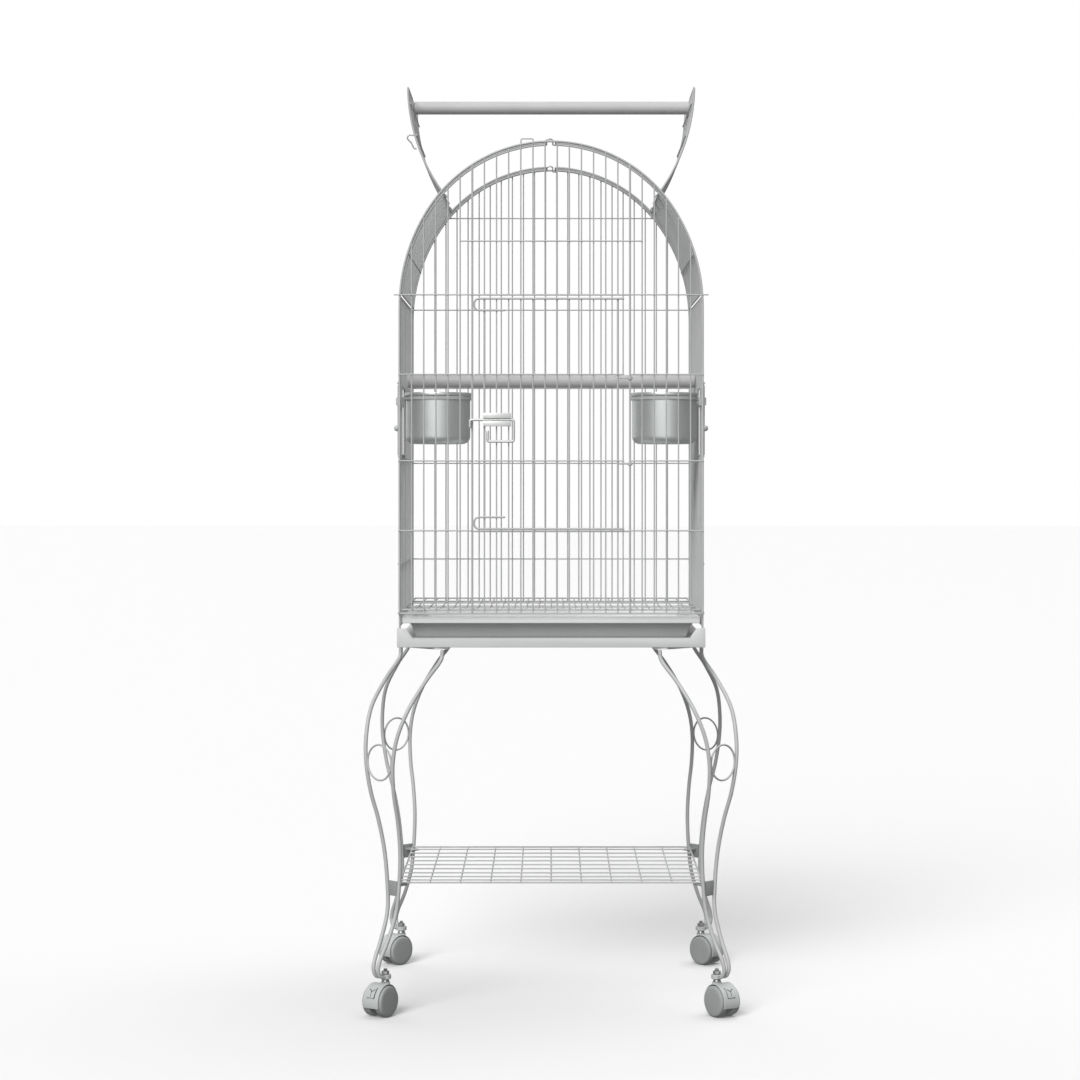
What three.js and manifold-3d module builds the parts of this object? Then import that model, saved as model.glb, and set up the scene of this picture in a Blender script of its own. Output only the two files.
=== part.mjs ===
// A bird cage with an arched roof on a wheeled stand. Millimetres, +Z up, the front faces -Y.
import * as THREE from "three";
import { mergeVertices } from "three/addons/utils/BufferGeometryUtils.js";
import Module from "manifold-3d";

const wasm = await Module();
wasm.setup();

// ---------- Driving dimensions ----------
const GAP = 0.3; // between pieces that touch
const WELD = 0.4; // how far two welded wires sink into each other

// Cage body: wire panels between four corner posts
const CAGE_WIDTH = 495; // between the corner posts' centres
const CAGE_DEPTH = 395;
const WIRE_SPACING = 19.8;
const WIRE_DIAMETER = 2.3;
const RAIL_DIAMETER = 2.8;
const POST_DIAMETER = 3.4;
const CORNER_INSET = 8; // from the front panel's plane to a side panel's end post
const FRONT_BOTTOM = 654;
const SIDE_BOTTOM = 634;
const WALL_TOP = 1172;
const FRONT_BAR_HEIGHTS = [789, 903, 1044, 1174];
const FRONT_SHORT_BAR = { height: 1261.5, reach: 148.5 };
const FRONT_TOP_BAR_PAST = 9.5; // past the corner posts' centres
const BACK_BAR_HEIGHTS = [730, 901, 1035, 1175];
const BACK_HIGH_BAR = 1339;
const TRAY_STOP_HEIGHT = 644;
const SIDE_BAR_HEIGHTS = [654, 734.5, 910, 1030.5];

// Arched roof: two haunch circles and a crown circle that meets them
const SPRING_HEIGHT = 1154.5;
const HAUNCH_SHIFT = 49.3; // each haunch circle's centre lies this far across the middle
const CROWN_RISE = 32;
const ROOF_BOTTOM = 1178;
const ROOF_EDGE_INSET = 4.5;
const STRIP_SPACING = 20; // between the wires of a roof half's front and back strips
const STRIP_WIRES = 3;
const STRIP_GAP = 11; // between the two halves at the apex

// Roof doors, standing open
const ROOF_DOOR_HINGE_X = 177.5;
const ROOF_DOOR_CHORD = 186;
const ROOF_DOOR_RADIUS = 300;
const ROOF_DOOR_TILT = THREE.MathUtils.degToRad(18.6); // of the open chord, outwards
const ROOF_DOOR_SIDE_ROOM = 13; // from a door's side to the nearest strip wire
const ROOF_DOOR_WIRES = 7; // spaces on each side of the perch notch
const PERCH_BAR_DROP = 27; // from the tip bar down to the bar that carries the perch

// Perches
const PERCH_DIAMETER = 22;
const TOP_PERCH_LENGTH = 480;
const INNER_PERCH_HEIGHT = 1040;

// Front door
const DOOR_BAYS = 13;
const DOOR_SILL = 788;
const DOOR_HEAD = 1174;
const DOOR_LOW_BAR = 792;
const DOOR_TOP_BAR = 1167.5;
const DOOR_MID_BARS = [903, 1044];
const DOOR_KNUCKLES = [898, 1038];
const HAIRPIN_DROP = 19;
const HAIRPIN_RETURN = 51;
const DOOR_BAR_SHORT = 9.2; // from the hinge back to the ends of the door's outer bars

// Latch
const LATCH_HEIGHT = 970;
const LATCH_DIAMETER = 4.5;
const BRACKET = { width: 45.5, height: 21.7, offset: 1.7, plate: 1.5, depth: 7.8 };
const HANDLE = { width: 42.7, height: 35.4, tail: 18 };
const LATCH_HOOK_DROP = 14;

// Feeder openings, flaps and cups
const FEEDER_FIRST_BAY = 2;
const FEEDER_BAYS = 5;
const FEEDER_LOW = 913;
const FEEDER_HIGH = 1024;
const FLAP_TOP_DROP = 4; // from the hinge wire down to the flap's top rail
const FLAP_INSET = 5; // from the feeder opening's posts to the flap's sides
const FLAP_LOW = 914;
const KNOB_DIAMETER = 10.5;
const KNOB_HEIGHT = 957;
const CUP_DIAMETER = 107.5;
const CUP_RIM_OUT = 2.1; // past the cup's wall
const CUP_ROOM = 3.1; // from the rim to the side panel's plane
const CUP_BOTTOM = 931.5;
const CUP_TOP = 1016.8;
const CUP_WALL = 1.2;
const CUP_CORNER = 13;
const CUP_RIM_HEIGHT = 6.9;
const HOLDER = { wall: 2.2, low: 998, high: 1009.9 };
const HOLDER_BLOCK = { low: 994, high: 1008, width: 10, out: 7.5 };

// Floor grate, tray and base frame
const GRATE_HEIGHT = 660;
const TRAY = { sideRoom: 4, endRoom: 7.5, top: 648, bottom: 613.8, rim: 10.5, wall: 2 };
const TRAY_BODY = { topInset: 13.5, bottomInset: 21.5 };
const BASE = { low: 598.6, high: 613.5, flange: 39.5, sheet: 2 };
const EAR = { height: 629.8, width: 14.5, foot: 24.5, footHeight: 616, sheet: 1.5, room: 0.37 };

// Legs: height, distance out from the cage's corner and half the spread of the two branches
const LEG_ROD_DIAMETER = 7;
const LEG_COURSE = [
  [595, -52, 51], [580, -50, 50.5], [545, -17, 48.5], [500, 18, 45], [455, 35.5, 37.6],
  [414, 40, 32.8], [365, 34, 28.4], [320, 21.7, 24], [270, 12.5, 19.5], [215, 10, 14.5],
  [170, 13, 10.7], [125, 29, 8.5], [95, 44, 6.5], [80, 47.5, 5.6], [69, 43, 5.2], [66, 34, 5.2],
];
const LEG_STEPS = 16;
const LEG_PLATE = { thickness: 3, reach: 57, inner: -62, outer: -42 };
const LEG_RING = { height: 414, out: 40, radius: 28.7, wire: 3.2 };
const LEG_EYE = { radius: 9.5, height: 7, level: 66 };

// Shelf between the legs
const SHELF_HEIGHT = 215;
const SHELF_WIDTH = CAGE_WIDTH - 1;
const SHELF_DEPTH = CAGE_DEPTH + 1;
const SHELF_OVERHANG = 4; // of the cross wires past the front and back rails
const SHELF_CROSS_BAYS = 10;
const SHELF_LONG_WIRES = [-184, -150, -110, -66, -22, 22, 66, 110, 154];
const CLAMP = { out: 8.5, thickness: 3, low: 195, high: 219, lowWidth: 16.8, highWidth: 20 };
const CLAMP_ARM = { length: 24, width: 12, top: 212.5 };

// Casters
const STEM_OUT = 27; // from the cage's corner
const STEM_RADIUS = 3.2;
const STEM_TOP = 79;
const NECK = { radius: 6.5, length: 4.61 };
const NUT = { radius: 6.35, low: 69.8, high: 75.3 };
const WHEEL_RADIUS = 25;
const WHEEL_SIDES = 16;
const WHEEL_INNER = 5.2;
const WHEEL_OUTER = 20;
const AXLE_RADIUS = 3.5;
const TRAIL = 14; // from the swivel axis to the axle
const HOOD = { room: 1.1, wall: 1.2, halfWidth: 15, web: 4.8, steps: 12 };
const BOSS = { radius: 8, height: 10.3 };
const HOOD_START = THREE.MathUtils.degToRad(-18);
const HOOD_SWEEP = THREE.MathUtils.degToRad(216);
const BRAKE = { halfWidth: 6.6, out: 2, room: 0.035 };
const BRAKE_START = THREE.MathUtils.degToRad(126);
const BRAKE_SWEEP = THREE.MathUtils.degToRad(36);
const FRONT_CASTER_TURN = THREE.MathUtils.degToRad(32.3);
const BACK_CASTER_TURN = THREE.MathUtils.degToRad(44.2);

// ---------- Values that follow ----------
// Half the diagonal of a four-sided wire with the same area as a round one
const squareReach = (diameter) => (diameter / 2) * Math.sqrt(Math.PI / 2);
const WIRE_R = squareReach(WIRE_DIAMETER);
const RAIL_R = squareReach(RAIL_DIAMETER);
const POST_R = squareReach(POST_DIAMETER);
const LAYER = POST_R + WIRE_R - WELD; // an outer wire welds to a post and clears a plain wire
const HALF_WIDTH = CAGE_WIDTH / 2;
const HALF_DEPTH = CAGE_DEPTH / 2;
const BAYS = Math.round(CAGE_WIDTH / WIRE_SPACING);
const SIDE_BAYS = Math.round(CAGE_DEPTH / WIRE_SPACING);
const DOOR_FIRST = Math.floor((BAYS - DOOR_BAYS) / 2);
const DOOR_LAST = DOOR_FIRST + DOOR_BAYS;
const HAUNCH_RADIUS = HALF_WIDTH + HAUNCH_SHIFT;
const CROWN_HEIGHT = SPRING_HEIGHT + CROWN_RISE;
const CROWN_RADIUS = HAUNCH_RADIUS - Math.hypot(HAUNCH_SHIFT, CROWN_RISE);
const HAUNCH_END = Math.atan2(CROWN_RISE, HAUNCH_SHIFT);
const X = new THREE.Vector3(1, 0, 0);
const Y = new THREE.Vector3(0, 1, 0);
const Z = new THREE.Vector3(0, 0, 1);

const acrossWidth = (k) => -HALF_WIDTH + (k * CAGE_WIDTH) / BAYS;
const acrossDepth = (j) => -HALF_DEPTH + (j * CAGE_DEPTH) / SIDE_BAYS;

// ---------- Solids ----------
function solidOf(geometry) {
  const bare = geometry.clone();
  bare.deleteAttribute("normal");
  bare.deleteAttribute("uv");
  const merged = mergeVertices(bare, 1e-4);
  const mesh = new wasm.Mesh({
    numProp: 3,
    vertProperties: merged.attributes.position.array,
    triVerts: new Uint32Array(merged.index.array),
  });
  return new wasm.Manifold(mesh);
}

const joined = (solids) => solids.reduce((all, next) => all.add(next));
const cutBy = (solid, tools) => tools.reduce((left, tool) => left.subtract(tool), solid);

function geometryOf(solid) {
  const mesh = solid.getMesh();
  const geometry = new THREE.BufferGeometry();
  geometry.setAttribute("position", new THREE.BufferAttribute(mesh.vertProperties, 3));
  geometry.setIndex(new THREE.BufferAttribute(mesh.triVerts, 1));
  geometry.computeVertexNormals();
  return geometry;
}

// A wire through points that lie in one plane, with mitred bends and flat ends.
function wire(points, planeNormal, reach, sides = 4) {
  const vertices = [];
  const faces = [];
  points.forEach((point, i) => {
    const before = points[Math.max(i - 1, 0)];
    const after = points[Math.min(i + 1, points.length - 1)];
    const coming = point.clone().sub(before).normalize();
    const going = after.clone().sub(point).normalize();
    const along = coming.clone().add(going).normalize();
    const mitre = 1 / along.dot(i ? coming : going);
    const side = planeNormal.clone().cross(along);
    for (let k = 0; k < sides; k++) {
      const turn = (2 * Math.PI * k) / sides;
      const corner = point.clone().addScaledVector(side, reach * mitre * Math.cos(turn));
      vertices.push(...corner.addScaledVector(planeNormal, reach * Math.sin(turn)));
    }
  });
  for (let i = 0; i + 1 < points.length; i++) {
    for (let k = 0; k < sides; k++) {
      const a = i * sides + k;
      const b = i * sides + ((k + 1) % sides);
      faces.push(a, b, b + sides, a, b + sides, a + sides);
    }
  }
  const last = (points.length - 1) * sides;
  for (let k = 1; k + 1 < sides; k++) {
    faces.push(0, k + 1, k, last, last + k, last + k + 1);
  }
  const geometry = new THREE.BufferGeometry();
  geometry.setAttribute("position", new THREE.Float32BufferAttribute(vertices, 3));
  geometry.setIndex(faces);
  return solidOf(geometry);
}

// A round rod along a space curve.
function rod(curve, radius, sides, steps) {
  const section = new THREE.Shape();
  for (let k = 0; k < sides; k++) {
    const turn = (2 * Math.PI * k) / sides;
    section[k ? "lineTo" : "moveTo"](radius * Math.cos(turn), radius * Math.sin(turn));
  }
  return solidOf(new THREE.ExtrudeGeometry(section, { steps, extrudePath: curve, bevelEnabled: false }));
}

function block(low, high) {
  const size = high.clone().sub(low);
  const middle = low.clone().add(high).multiplyScalar(0.5);
  return solidOf(new THREE.BoxGeometry(size.x, size.y, size.z).translate(middle.x, middle.y, middle.z));
}

// A cylinder or a polygon prism from one point to another; its first corner turns by start.
function cylinder(from, to, radius, sides, start = 0) {
  const axis = to.clone().sub(from);
  const geometry = new THREE.CylinderGeometry(radius, radius, axis.length(), sides).rotateY(start);
  geometry.applyQuaternion(new THREE.Quaternion().setFromUnitVectors(Y, axis.clone().normalize()));
  const middle = from.clone().add(to).multiplyScalar(0.5);
  return solidOf(geometry.translate(middle.x, middle.y, middle.z));
}

// A ring about an axis, with a hole right through.
function ring(centre, axis, length, outer, inner, sides) {
  const half = axis.clone().multiplyScalar(length / 2);
  const through = half.clone().multiplyScalar(2);
  const body = cylinder(centre.clone().sub(half), centre.clone().add(half), outer, sides);
  return body.subtract(cylinder(centre.clone().sub(through), centre.clone().add(through), inner, sides));
}

// An outline of [a, b] points drawn in the XZ plane and thickened along Y from low to high.
function plate(points, low, high) {
  const shape = new THREE.Shape(points.map(([a, b]) => new THREE.Vector2(a, b)));
  const geometry = new THREE.ExtrudeGeometry(shape, { depth: high - low, bevelEnabled: false });
  return solidOf(geometry.rotateX(Math.PI / 2).translate(0, high, 0));
}

const mirrorX = (solid) => solid.mirror([1, 0, 0]);
const mirrorY = (solid) => solid.mirror([0, 1, 0]);

// ---------- Wire panels ----------
// A panel's plane: across it, out of it, and how far out from the middle it stands.
const FRONT = { across: X, outward: Y.clone().negate(), reach: HALF_DEPTH };
const BACK = { across: X, outward: Y, reach: HALF_DEPTH };
const RIGHT = { across: Y, outward: X, reach: HALF_WIDTH };

function place(panel, across, height, out = 0) {
  const point = panel.across.clone().multiplyScalar(across).addScaledVector(Z, height);
  return point.addScaledVector(panel.outward, panel.reach + out);
}

const upright = (panel, across, low, high, reach) =>
  wire([place(panel, across, low), place(panel, across, high)], panel.outward, reach);
const rail = (panel, from, to, height, reach) =>
  wire([place(panel, from, height), place(panel, to, height)], panel.outward, reach);
const outerBar = (panel, from, to, height) =>
  wire([place(panel, from, height, LAYER), place(panel, to, height, LAYER)], panel.outward, WIRE_R);

// The arch at an angle above the horizontal, on the right side. offset moves it out along its normal.
function archPoint(angle, offset = 0) {
  const onCrown = angle > HAUNCH_END;
  const radius = (onCrown ? CROWN_RADIUS : HAUNCH_RADIUS) + offset;
  const centreX = onCrown ? 0 : -HAUNCH_SHIFT;
  const centreZ = onCrown ? CROWN_HEIGHT : SPRING_HEIGHT;
  return { x: centreX + radius * Math.cos(angle), z: centreZ + radius * Math.sin(angle) };
}

function archHeight(x) {
  const side = Math.abs(x);
  const onCrown = side < CROWN_RADIUS * Math.cos(HAUNCH_END);
  if (onCrown) return CROWN_HEIGHT + Math.sqrt(CROWN_RADIUS ** 2 - side ** 2);
  return SPRING_HEIGHT + Math.sqrt(HAUNCH_RADIUS ** 2 - (side + HAUNCH_SHIFT) ** 2);
}

const anglesBetween = (from, to, steps) =>
  Array.from({ length: steps + 1 }, (_, i) => from + ((to - from) * i) / steps);

// The bent wire that makes both corner posts and the arch between them.
function archedFrame(panel, bottom) {
  const half = anglesBetween(0, Math.PI / 2, 8).map((angle) => archPoint(angle));
  const right = half.map(({ x, z }) => place(panel, x, z));
  const left = half.slice(0, -1).reverse().map(({ x, z }) => place(panel, -x, z));
  const ends = [-HALF_WIDTH, HALF_WIDTH].map((x) => place(panel, x, bottom));
  const points = [ends[1], ...right, ...left, ends[0]];
  return wire(points, panel.outward, POST_R);
}

function frontPanel() {
  const doorLeft = acrossWidth(DOOR_FIRST);
  const doorRight = acrossWidth(DOOR_LAST);
  const parts = [archedFrame(FRONT, FRONT_BOTTOM - RAIL_R)];
  for (let k = 1; k < BAYS; k++) {
    const x = acrossWidth(k);
    const atDoor = k === DOOR_FIRST || k === DOOR_LAST;
    const aboveDoor = k > DOOR_FIRST && k < DOOR_LAST;
    const lengths = aboveDoor
      ? [[FRONT_BOTTOM, DOOR_SILL], [DOOR_HEAD, archHeight(x)]]
      : [[FRONT_BOTTOM, archHeight(x)]];
    for (const [low, high] of lengths) {
      parts.push(upright(FRONT, x, low, high, atDoor ? POST_R : WIRE_R));
    }
  }
  parts.push(rail(FRONT, -HALF_WIDTH, HALF_WIDTH, FRONT_BOTTOM, RAIL_R));
  parts.push(rail(FRONT, doorLeft, doorRight, DOOR_SILL, RAIL_R));
  parts.push(rail(FRONT, doorLeft, doorRight, DOOR_HEAD, RAIL_R));
  const topBar = Math.max(...FRONT_BAR_HEIGHTS);
  for (const height of FRONT_BAR_HEIGHTS) {
    const reach = height === topBar ? HALF_WIDTH + FRONT_TOP_BAR_PAST : HALF_WIDTH + LAYER;
    parts.push(outerBar(FRONT, -reach, doorLeft, height));
    parts.push(outerBar(FRONT, doorRight, reach, height));
  }
  parts.push(outerBar(FRONT, -FRONT_SHORT_BAR.reach, FRONT_SHORT_BAR.reach, FRONT_SHORT_BAR.height));
  return joined(parts);
}

function backPanel() {
  const parts = [archedFrame(BACK, BASE.high + GAP)];
  for (let k = 1; k < BAYS; k++) {
    parts.push(upright(BACK, acrossWidth(k), FRONT_BOTTOM, archHeight(acrossWidth(k)), WIRE_R));
  }
  parts.push(rail(BACK, -HALF_WIDTH, HALF_WIDTH, FRONT_BOTTOM, RAIL_R));
  parts.push(rail(BACK, -HALF_WIDTH, HALF_WIDTH, TRAY_STOP_HEIGHT, RAIL_R));
  for (const height of BACK_BAR_HEIGHTS) {
    parts.push(outerBar(BACK, -HALF_WIDTH - LAYER, HALF_WIDTH + LAYER, height));
  }
  const highReach = Math.sqrt(CROWN_RADIUS ** 2 - (BACK_HIGH_BAR - CROWN_HEIGHT) ** 2);
  parts.push(outerBar(BACK, -highReach - POST_R, highReach + POST_R, BACK_HIGH_BAR));
  return joined(parts);
}

function sidePanel() {
  const endPost = HALF_DEPTH - CORNER_INSET;
  const barEnd = HALF_DEPTH - 3 * GAP;
  const feederFirst = FEEDER_FIRST_BAY;
  const feederLast = FEEDER_FIRST_BAY + FEEDER_BAYS;
  const parts = [-endPost, endPost].map((y) => upright(RIGHT, y, BASE.high + GAP, WALL_TOP + RAIL_R, POST_R));
  for (let j = 1; j < SIDE_BAYS; j++) {
    const atFeeder = j === feederFirst || j === feederLast;
    const cut = j > feederFirst && j < feederLast;
    const lengths = cut
      ? [[SIDE_BOTTOM, FEEDER_LOW], [FEEDER_HIGH, WALL_TOP]]
      : [[SIDE_BOTTOM, WALL_TOP]];
    for (const [low, high] of lengths) {
      parts.push(upright(RIGHT, acrossDepth(j), low, high, atFeeder ? POST_R : WIRE_R));
    }
  }
  for (const height of [SIDE_BOTTOM, WALL_TOP]) {
    parts.push(rail(RIGHT, -endPost, endPost, height, RAIL_R));
  }
  for (const height of [FEEDER_LOW, FEEDER_HIGH]) {
    parts.push(rail(RIGHT, acrossDepth(feederFirst), acrossDepth(feederLast), height, RAIL_R));
  }
  for (const height of SIDE_BAR_HEIGHTS) {
    parts.push(outerBar(RIGHT, -barEnd, barEnd, height));
  }
  return joined(parts);
}

// ---------- Roof ----------
const ROOF_EDGE = HALF_DEPTH - ROOF_EDGE_INSET;
const STRIP_DEPTHS = Array.from({ length: STRIP_WIRES }, (_, i) => ROOF_EDGE - i * STRIP_SPACING);
const STRIP_INNER = STRIP_DEPTHS[STRIP_WIRES - 1];
const MIDDLE_REACH = STRIP_INNER - STRIP_SPACING;
const ROOF_DOOR_HALF_DEPTH = STRIP_INNER - ROOF_DOOR_SIDE_ROOM;
const MIDDLE_BAYS = 2 * Math.round(MIDDLE_REACH / WIRE_SPACING - 0.5) + 1; // odd: a bay lies over the middle
const ROOF_START = Math.asin((ROOF_BOTTOM - SPRING_HEIGHT) / HAUNCH_RADIUS);
const HINGE_ANGLE = Math.acos(ROOF_DOOR_HINGE_X / CROWN_RADIUS);
const APEX_ANGLE = Math.acos((STRIP_GAP / 2 + RAIL_R) / CROWN_RADIUS);
const HINGE = archPoint(HINGE_ANGLE);
const SPLIT_ANGLE = HINGE_ANGLE + (RAIL_R + GAP) / CROWN_RADIUS; // the strips begin here

const roofPoint = (angle, depth, offset) => {
  const { x, z } = archPoint(angle, offset);
  return new THREE.Vector3(x, depth, z);
};

const roofWire = (angles, depth, reach) =>
  wire(angles.map((angle) => roofPoint(angle, depth, 0)), Y, reach);

// A straight wire along Y whose corners lie on the roof's normal.
function depthBar(point, angle, from, to, reach) {
  const normal = new THREE.Vector3(Math.cos(angle), 0, Math.sin(angle));
  const ends = [from, to].map((y) => new THREE.Vector3(point.x, y, point.z));
  return wire(ends, normal, reach);
}

// The lower part of a roof half, up to the door's hinge.
function roofPanel() {
  const haunch = anglesBetween(ROOF_START, HINGE_ANGLE, 3);
  const pastHinge = [...haunch, SPLIT_ANGLE - GAP / CROWN_RADIUS];
  const parts = [];
  STRIP_DEPTHS.forEach((depth, i) => {
    const reach = i === 1 ? WIRE_R : POST_R;
    parts.push(roofWire(pastHinge, depth, reach), roofWire(pastHinge, -depth, reach));
  });
  for (let j = 0; j <= MIDDLE_BAYS; j++) {
    parts.push(roofWire(haunch, -MIDDLE_REACH + (2 * MIDDLE_REACH * j) / MIDDLE_BAYS, WIRE_R));
  }
  parts.push(depthBar(archPoint(ROOF_START), ROOF_START, -ROOF_EDGE, ROOF_EDGE, RAIL_R));
  parts.push(depthBar(HINGE, HINGE_ANGLE, -STRIP_INNER, STRIP_INNER, RAIL_R));
  parts.push(depthBar(archPoint(haunch[1], -LAYER), haunch[1], -ROOF_EDGE, ROOF_EDGE, WIRE_R));
  return joined(parts);
}

// The front strip of a roof half, from beside the door's hinge to the apex.
function roofStrip() {
  const crown = anglesBetween(SPLIT_ANGLE + GAP / CROWN_RADIUS, APEX_ANGLE, 4);
  const parts = STRIP_DEPTHS.map((depth, i) => roofWire(crown, -depth, i === 1 ? WIRE_R : POST_R));
  const apex = archPoint(APEX_ANGLE);
  parts.push(depthBar(apex, APEX_ANGLE, -STRIP_INNER, -ROOF_EDGE, RAIL_R));
  return joined(parts);
}

// The keeper for the roof hook: a square loop standing on the left front strip.
const KEEPER = { inner: 29.2, outer: 49.3, rise: 6.5 };

function keeperStrip() {
  const top = archHeight(KEEPER.inner) + KEEPER.rise;
  const corners = [
    [-KEEPER.inner, archHeight(KEEPER.inner)], [-KEEPER.inner, top],
    [-KEEPER.outer, top], [-KEEPER.outer, archHeight(KEEPER.outer)],
  ];
  const points = corners.map(([x, z]) => new THREE.Vector3(x, -ROOF_EDGE, z));
  return mirrorX(roofStrip()).add(wire(points, Y, WIRE_R));
}

// A roof door's surface, in the right door's open place. run is measured along it from the hinge.
const DOOR_HALF_TURN = Math.asin(ROOF_DOOR_CHORD / 2 / ROOF_DOOR_RADIUS);
const DOOR_RUN = 2 * ROOF_DOOR_RADIUS * DOOR_HALF_TURN;
const doorLean = (run) => ROOF_DOOR_TILT + DOOR_HALF_TURN - run / ROOF_DOOR_RADIUS;

function doorPoint(run, offset = 0) {
  const start = doorLean(0);
  const lean = doorLean(run);
  const x = HINGE.x + ROOF_DOOR_RADIUS * (Math.cos(lean) - Math.cos(start)) + offset * Math.cos(lean);
  const z = HINGE.z + ROOF_DOOR_RADIUS * (Math.sin(start) - Math.sin(lean)) - offset * Math.sin(lean);
  return { x, z };
}

const PERCH_R = PERCH_DIAMETER / 2;
const NOTCH_HALF = PERCH_R + POST_R + 4 * GAP;
const KNUCKLE = { outer: RAIL_R + 2.45, inner: RAIL_R + 0.65, length: 8, foot: 7 };
const PERCH_BAR_RUN = DOOR_RUN - PERCH_BAR_DROP;
const HOOK_BAR_RUN = 0.57 * DOOR_RUN;

function roofDoor() {
  const runs = [KNUCKLE.foot, HOOK_BAR_RUN / 2, HOOK_BAR_RUN, PERCH_BAR_RUN, DOOR_RUN];
  const step = (ROOF_DOOR_HALF_DEPTH - NOTCH_HALF) / ROOF_DOOR_WIRES;
  const parts = [];
  for (const side of [-1, 1]) {
    for (let i = 0; i <= ROOF_DOOR_WIRES; i++) {
      const depth = side * (NOTCH_HALF + i * step);
      const reach = i % ROOF_DOOR_WIRES ? WIRE_R : POST_R;
      const points = runs.map((run) => new THREE.Vector3(doorPoint(run).x, depth, doorPoint(run).z));
      parts.push(wire(points, Y, reach));
    }
    const tip = doorPoint(DOOR_RUN);
    parts.push(depthBar(tip, -doorLean(DOOR_RUN), side * NOTCH_HALF, side * ROOF_DOOR_HALF_DEPTH, RAIL_R));
  }
  const foot = doorPoint(KNUCKLE.foot);
  parts.push(depthBar(foot, -doorLean(KNUCKLE.foot), -ROOF_DOOR_HALF_DEPTH, ROOF_DOOR_HALF_DEPTH, RAIL_R));
  for (const run of [PERCH_BAR_RUN, HOOK_BAR_RUN]) {
    const point = doorPoint(run, -LAYER);
    parts.push(depthBar(point, -doorLean(run), -ROOF_DOOR_HALF_DEPTH, ROOF_DOOR_HALF_DEPTH, WIRE_R));
  }
  const bay = (2 * MIDDLE_REACH) / MIDDLE_BAYS;
  for (const y of [-5 * bay, 0, 5 * bay]) {
    const centre = new THREE.Vector3(HINGE.x, y, HINGE.z);
    const arm = [doorPoint((KNUCKLE.outer + KNUCKLE.inner) / 2), foot];
    parts.push(ring(centre, Y, KNUCKLE.length, KNUCKLE.outer, KNUCKLE.inner, 8));
    parts.push(wire(arm.map(({ x, z }) => new THREE.Vector3(x, y, z)), Y, RAIL_R));
  }
  return joined(parts);
}

// The wire hook that hangs from a bar of the left roof door.
function roofHook() {
  const pivot = doorPoint(HOOK_BAR_RUN, -LAYER);
  const step = (ROOF_DOOR_HALF_DEPTH - NOTCH_HALF) / ROOF_DOOR_WIRES;
  const y = -ROOF_DOOR_HALF_DEPTH + step / 2;
  const course = [[2.7, 0.5], [14, 2], [17, -4], [10, -11], [5, -21], [1, -21]];
  const points = course.map(([x, z]) => new THREE.Vector3(pivot.x + x, y, pivot.z + z));
  const eye = ring(new THREE.Vector3(pivot.x, y, pivot.z), Y, 3, 3.4, 1.95, 8);
  return mirrorX(eye.add(wire(points, Y, WIRE_R)));
}

// A wire clip that hooks over the left strip's end and under the right one's.
function apexClip() {
  const clear = POST_R + WIRE_R + 2 * GAP;
  const top = CROWN_HEIGHT + CROWN_RADIUS;
  const y = -(ROOF_EDGE + STRIP_DEPTHS[1]) / 2;
  const course = [
    [-7, top + clear], [-2, top + clear + 2], [3, top + clear],
    [2.4, top - clear], [9, top - clear - 0.5],
  ];
  return wire(course.map(([x, z]) => new THREE.Vector3(x, y, z)), Y, WIRE_R);
}

// ---------- Perches ----------
const carrier = doorPoint(PERCH_BAR_RUN, -LAYER);
const TOP_PERCH_HEIGHT = carrier.z + WIRE_R + GAP + PERCH_R;

function perch(length, height) {
  const ends = [-length / 2, length / 2].map((x) => new THREE.Vector3(x, 0, height));
  return cylinder(ends[0], ends[1], PERCH_R, 14);
}

// ---------- Front door and latch ----------
function frontDoor() {
  const first = DOOR_FIRST + 1;
  const last = DOOR_LAST - 1;
  const parts = [];
  for (let k = first; k <= last; k++) {
    const reach = k === first || k === last ? POST_R : WIRE_R;
    const low = DOOR_SILL + RAIL_R + GAP;
    parts.push(upright(FRONT, acrossWidth(k), low, DOOR_TOP_BAR + POST_R, reach));
  }
  const hinge = acrossWidth(DOOR_LAST);
  const left = acrossWidth(DOOR_FIRST) + POST_R + 1;
  const right = hinge - DOOR_BAR_SHORT;
  const hairpins = [[DOOR_TOP_BAR, -HAIRPIN_DROP], [DOOR_LOW_BAR, HAIRPIN_DROP]];
  for (const [height, drop] of hairpins) {
    const bend = Math.abs(drop) / 2;
    const turns = anglesBetween(0, Math.PI, 4);
    const round = turns.map((turn) => [
      left + bend - bend * Math.sin(turn),
      height + (drop / 2) * (1 - Math.cos(turn)),
    ]);
    const course = [[right, height], ...round, [left + HAIRPIN_RETURN, height + drop]];
    parts.push(wire(course.map(([x, z]) => place(FRONT, x, z, LAYER)), FRONT.outward, POST_R));
  }
  for (const height of DOOR_MID_BARS) {
    parts.push(outerBar(FRONT, left, right, height));
  }
  for (const height of DOOR_KNUCKLES) {
    parts.push(ring(place(FRONT, hinge, height), Z, 5, POST_R + 2.27, POST_R + 0.62, 8));
    parts.push(rail(FRONT, acrossWidth(last), hinge - 3.4, height, WIRE_R));
  }
  return joined(parts);
}

const BRACKET_LEFT = acrossWidth(DOOR_FIRST + 1) - BRACKET.offset;
const BRACKET_BACK = HALF_DEPTH + POST_R + GAP;
const LATCH_OUT = BRACKET_BACK + BRACKET.plate + LATCH_DIAMETER / 2 + GAP;

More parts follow.
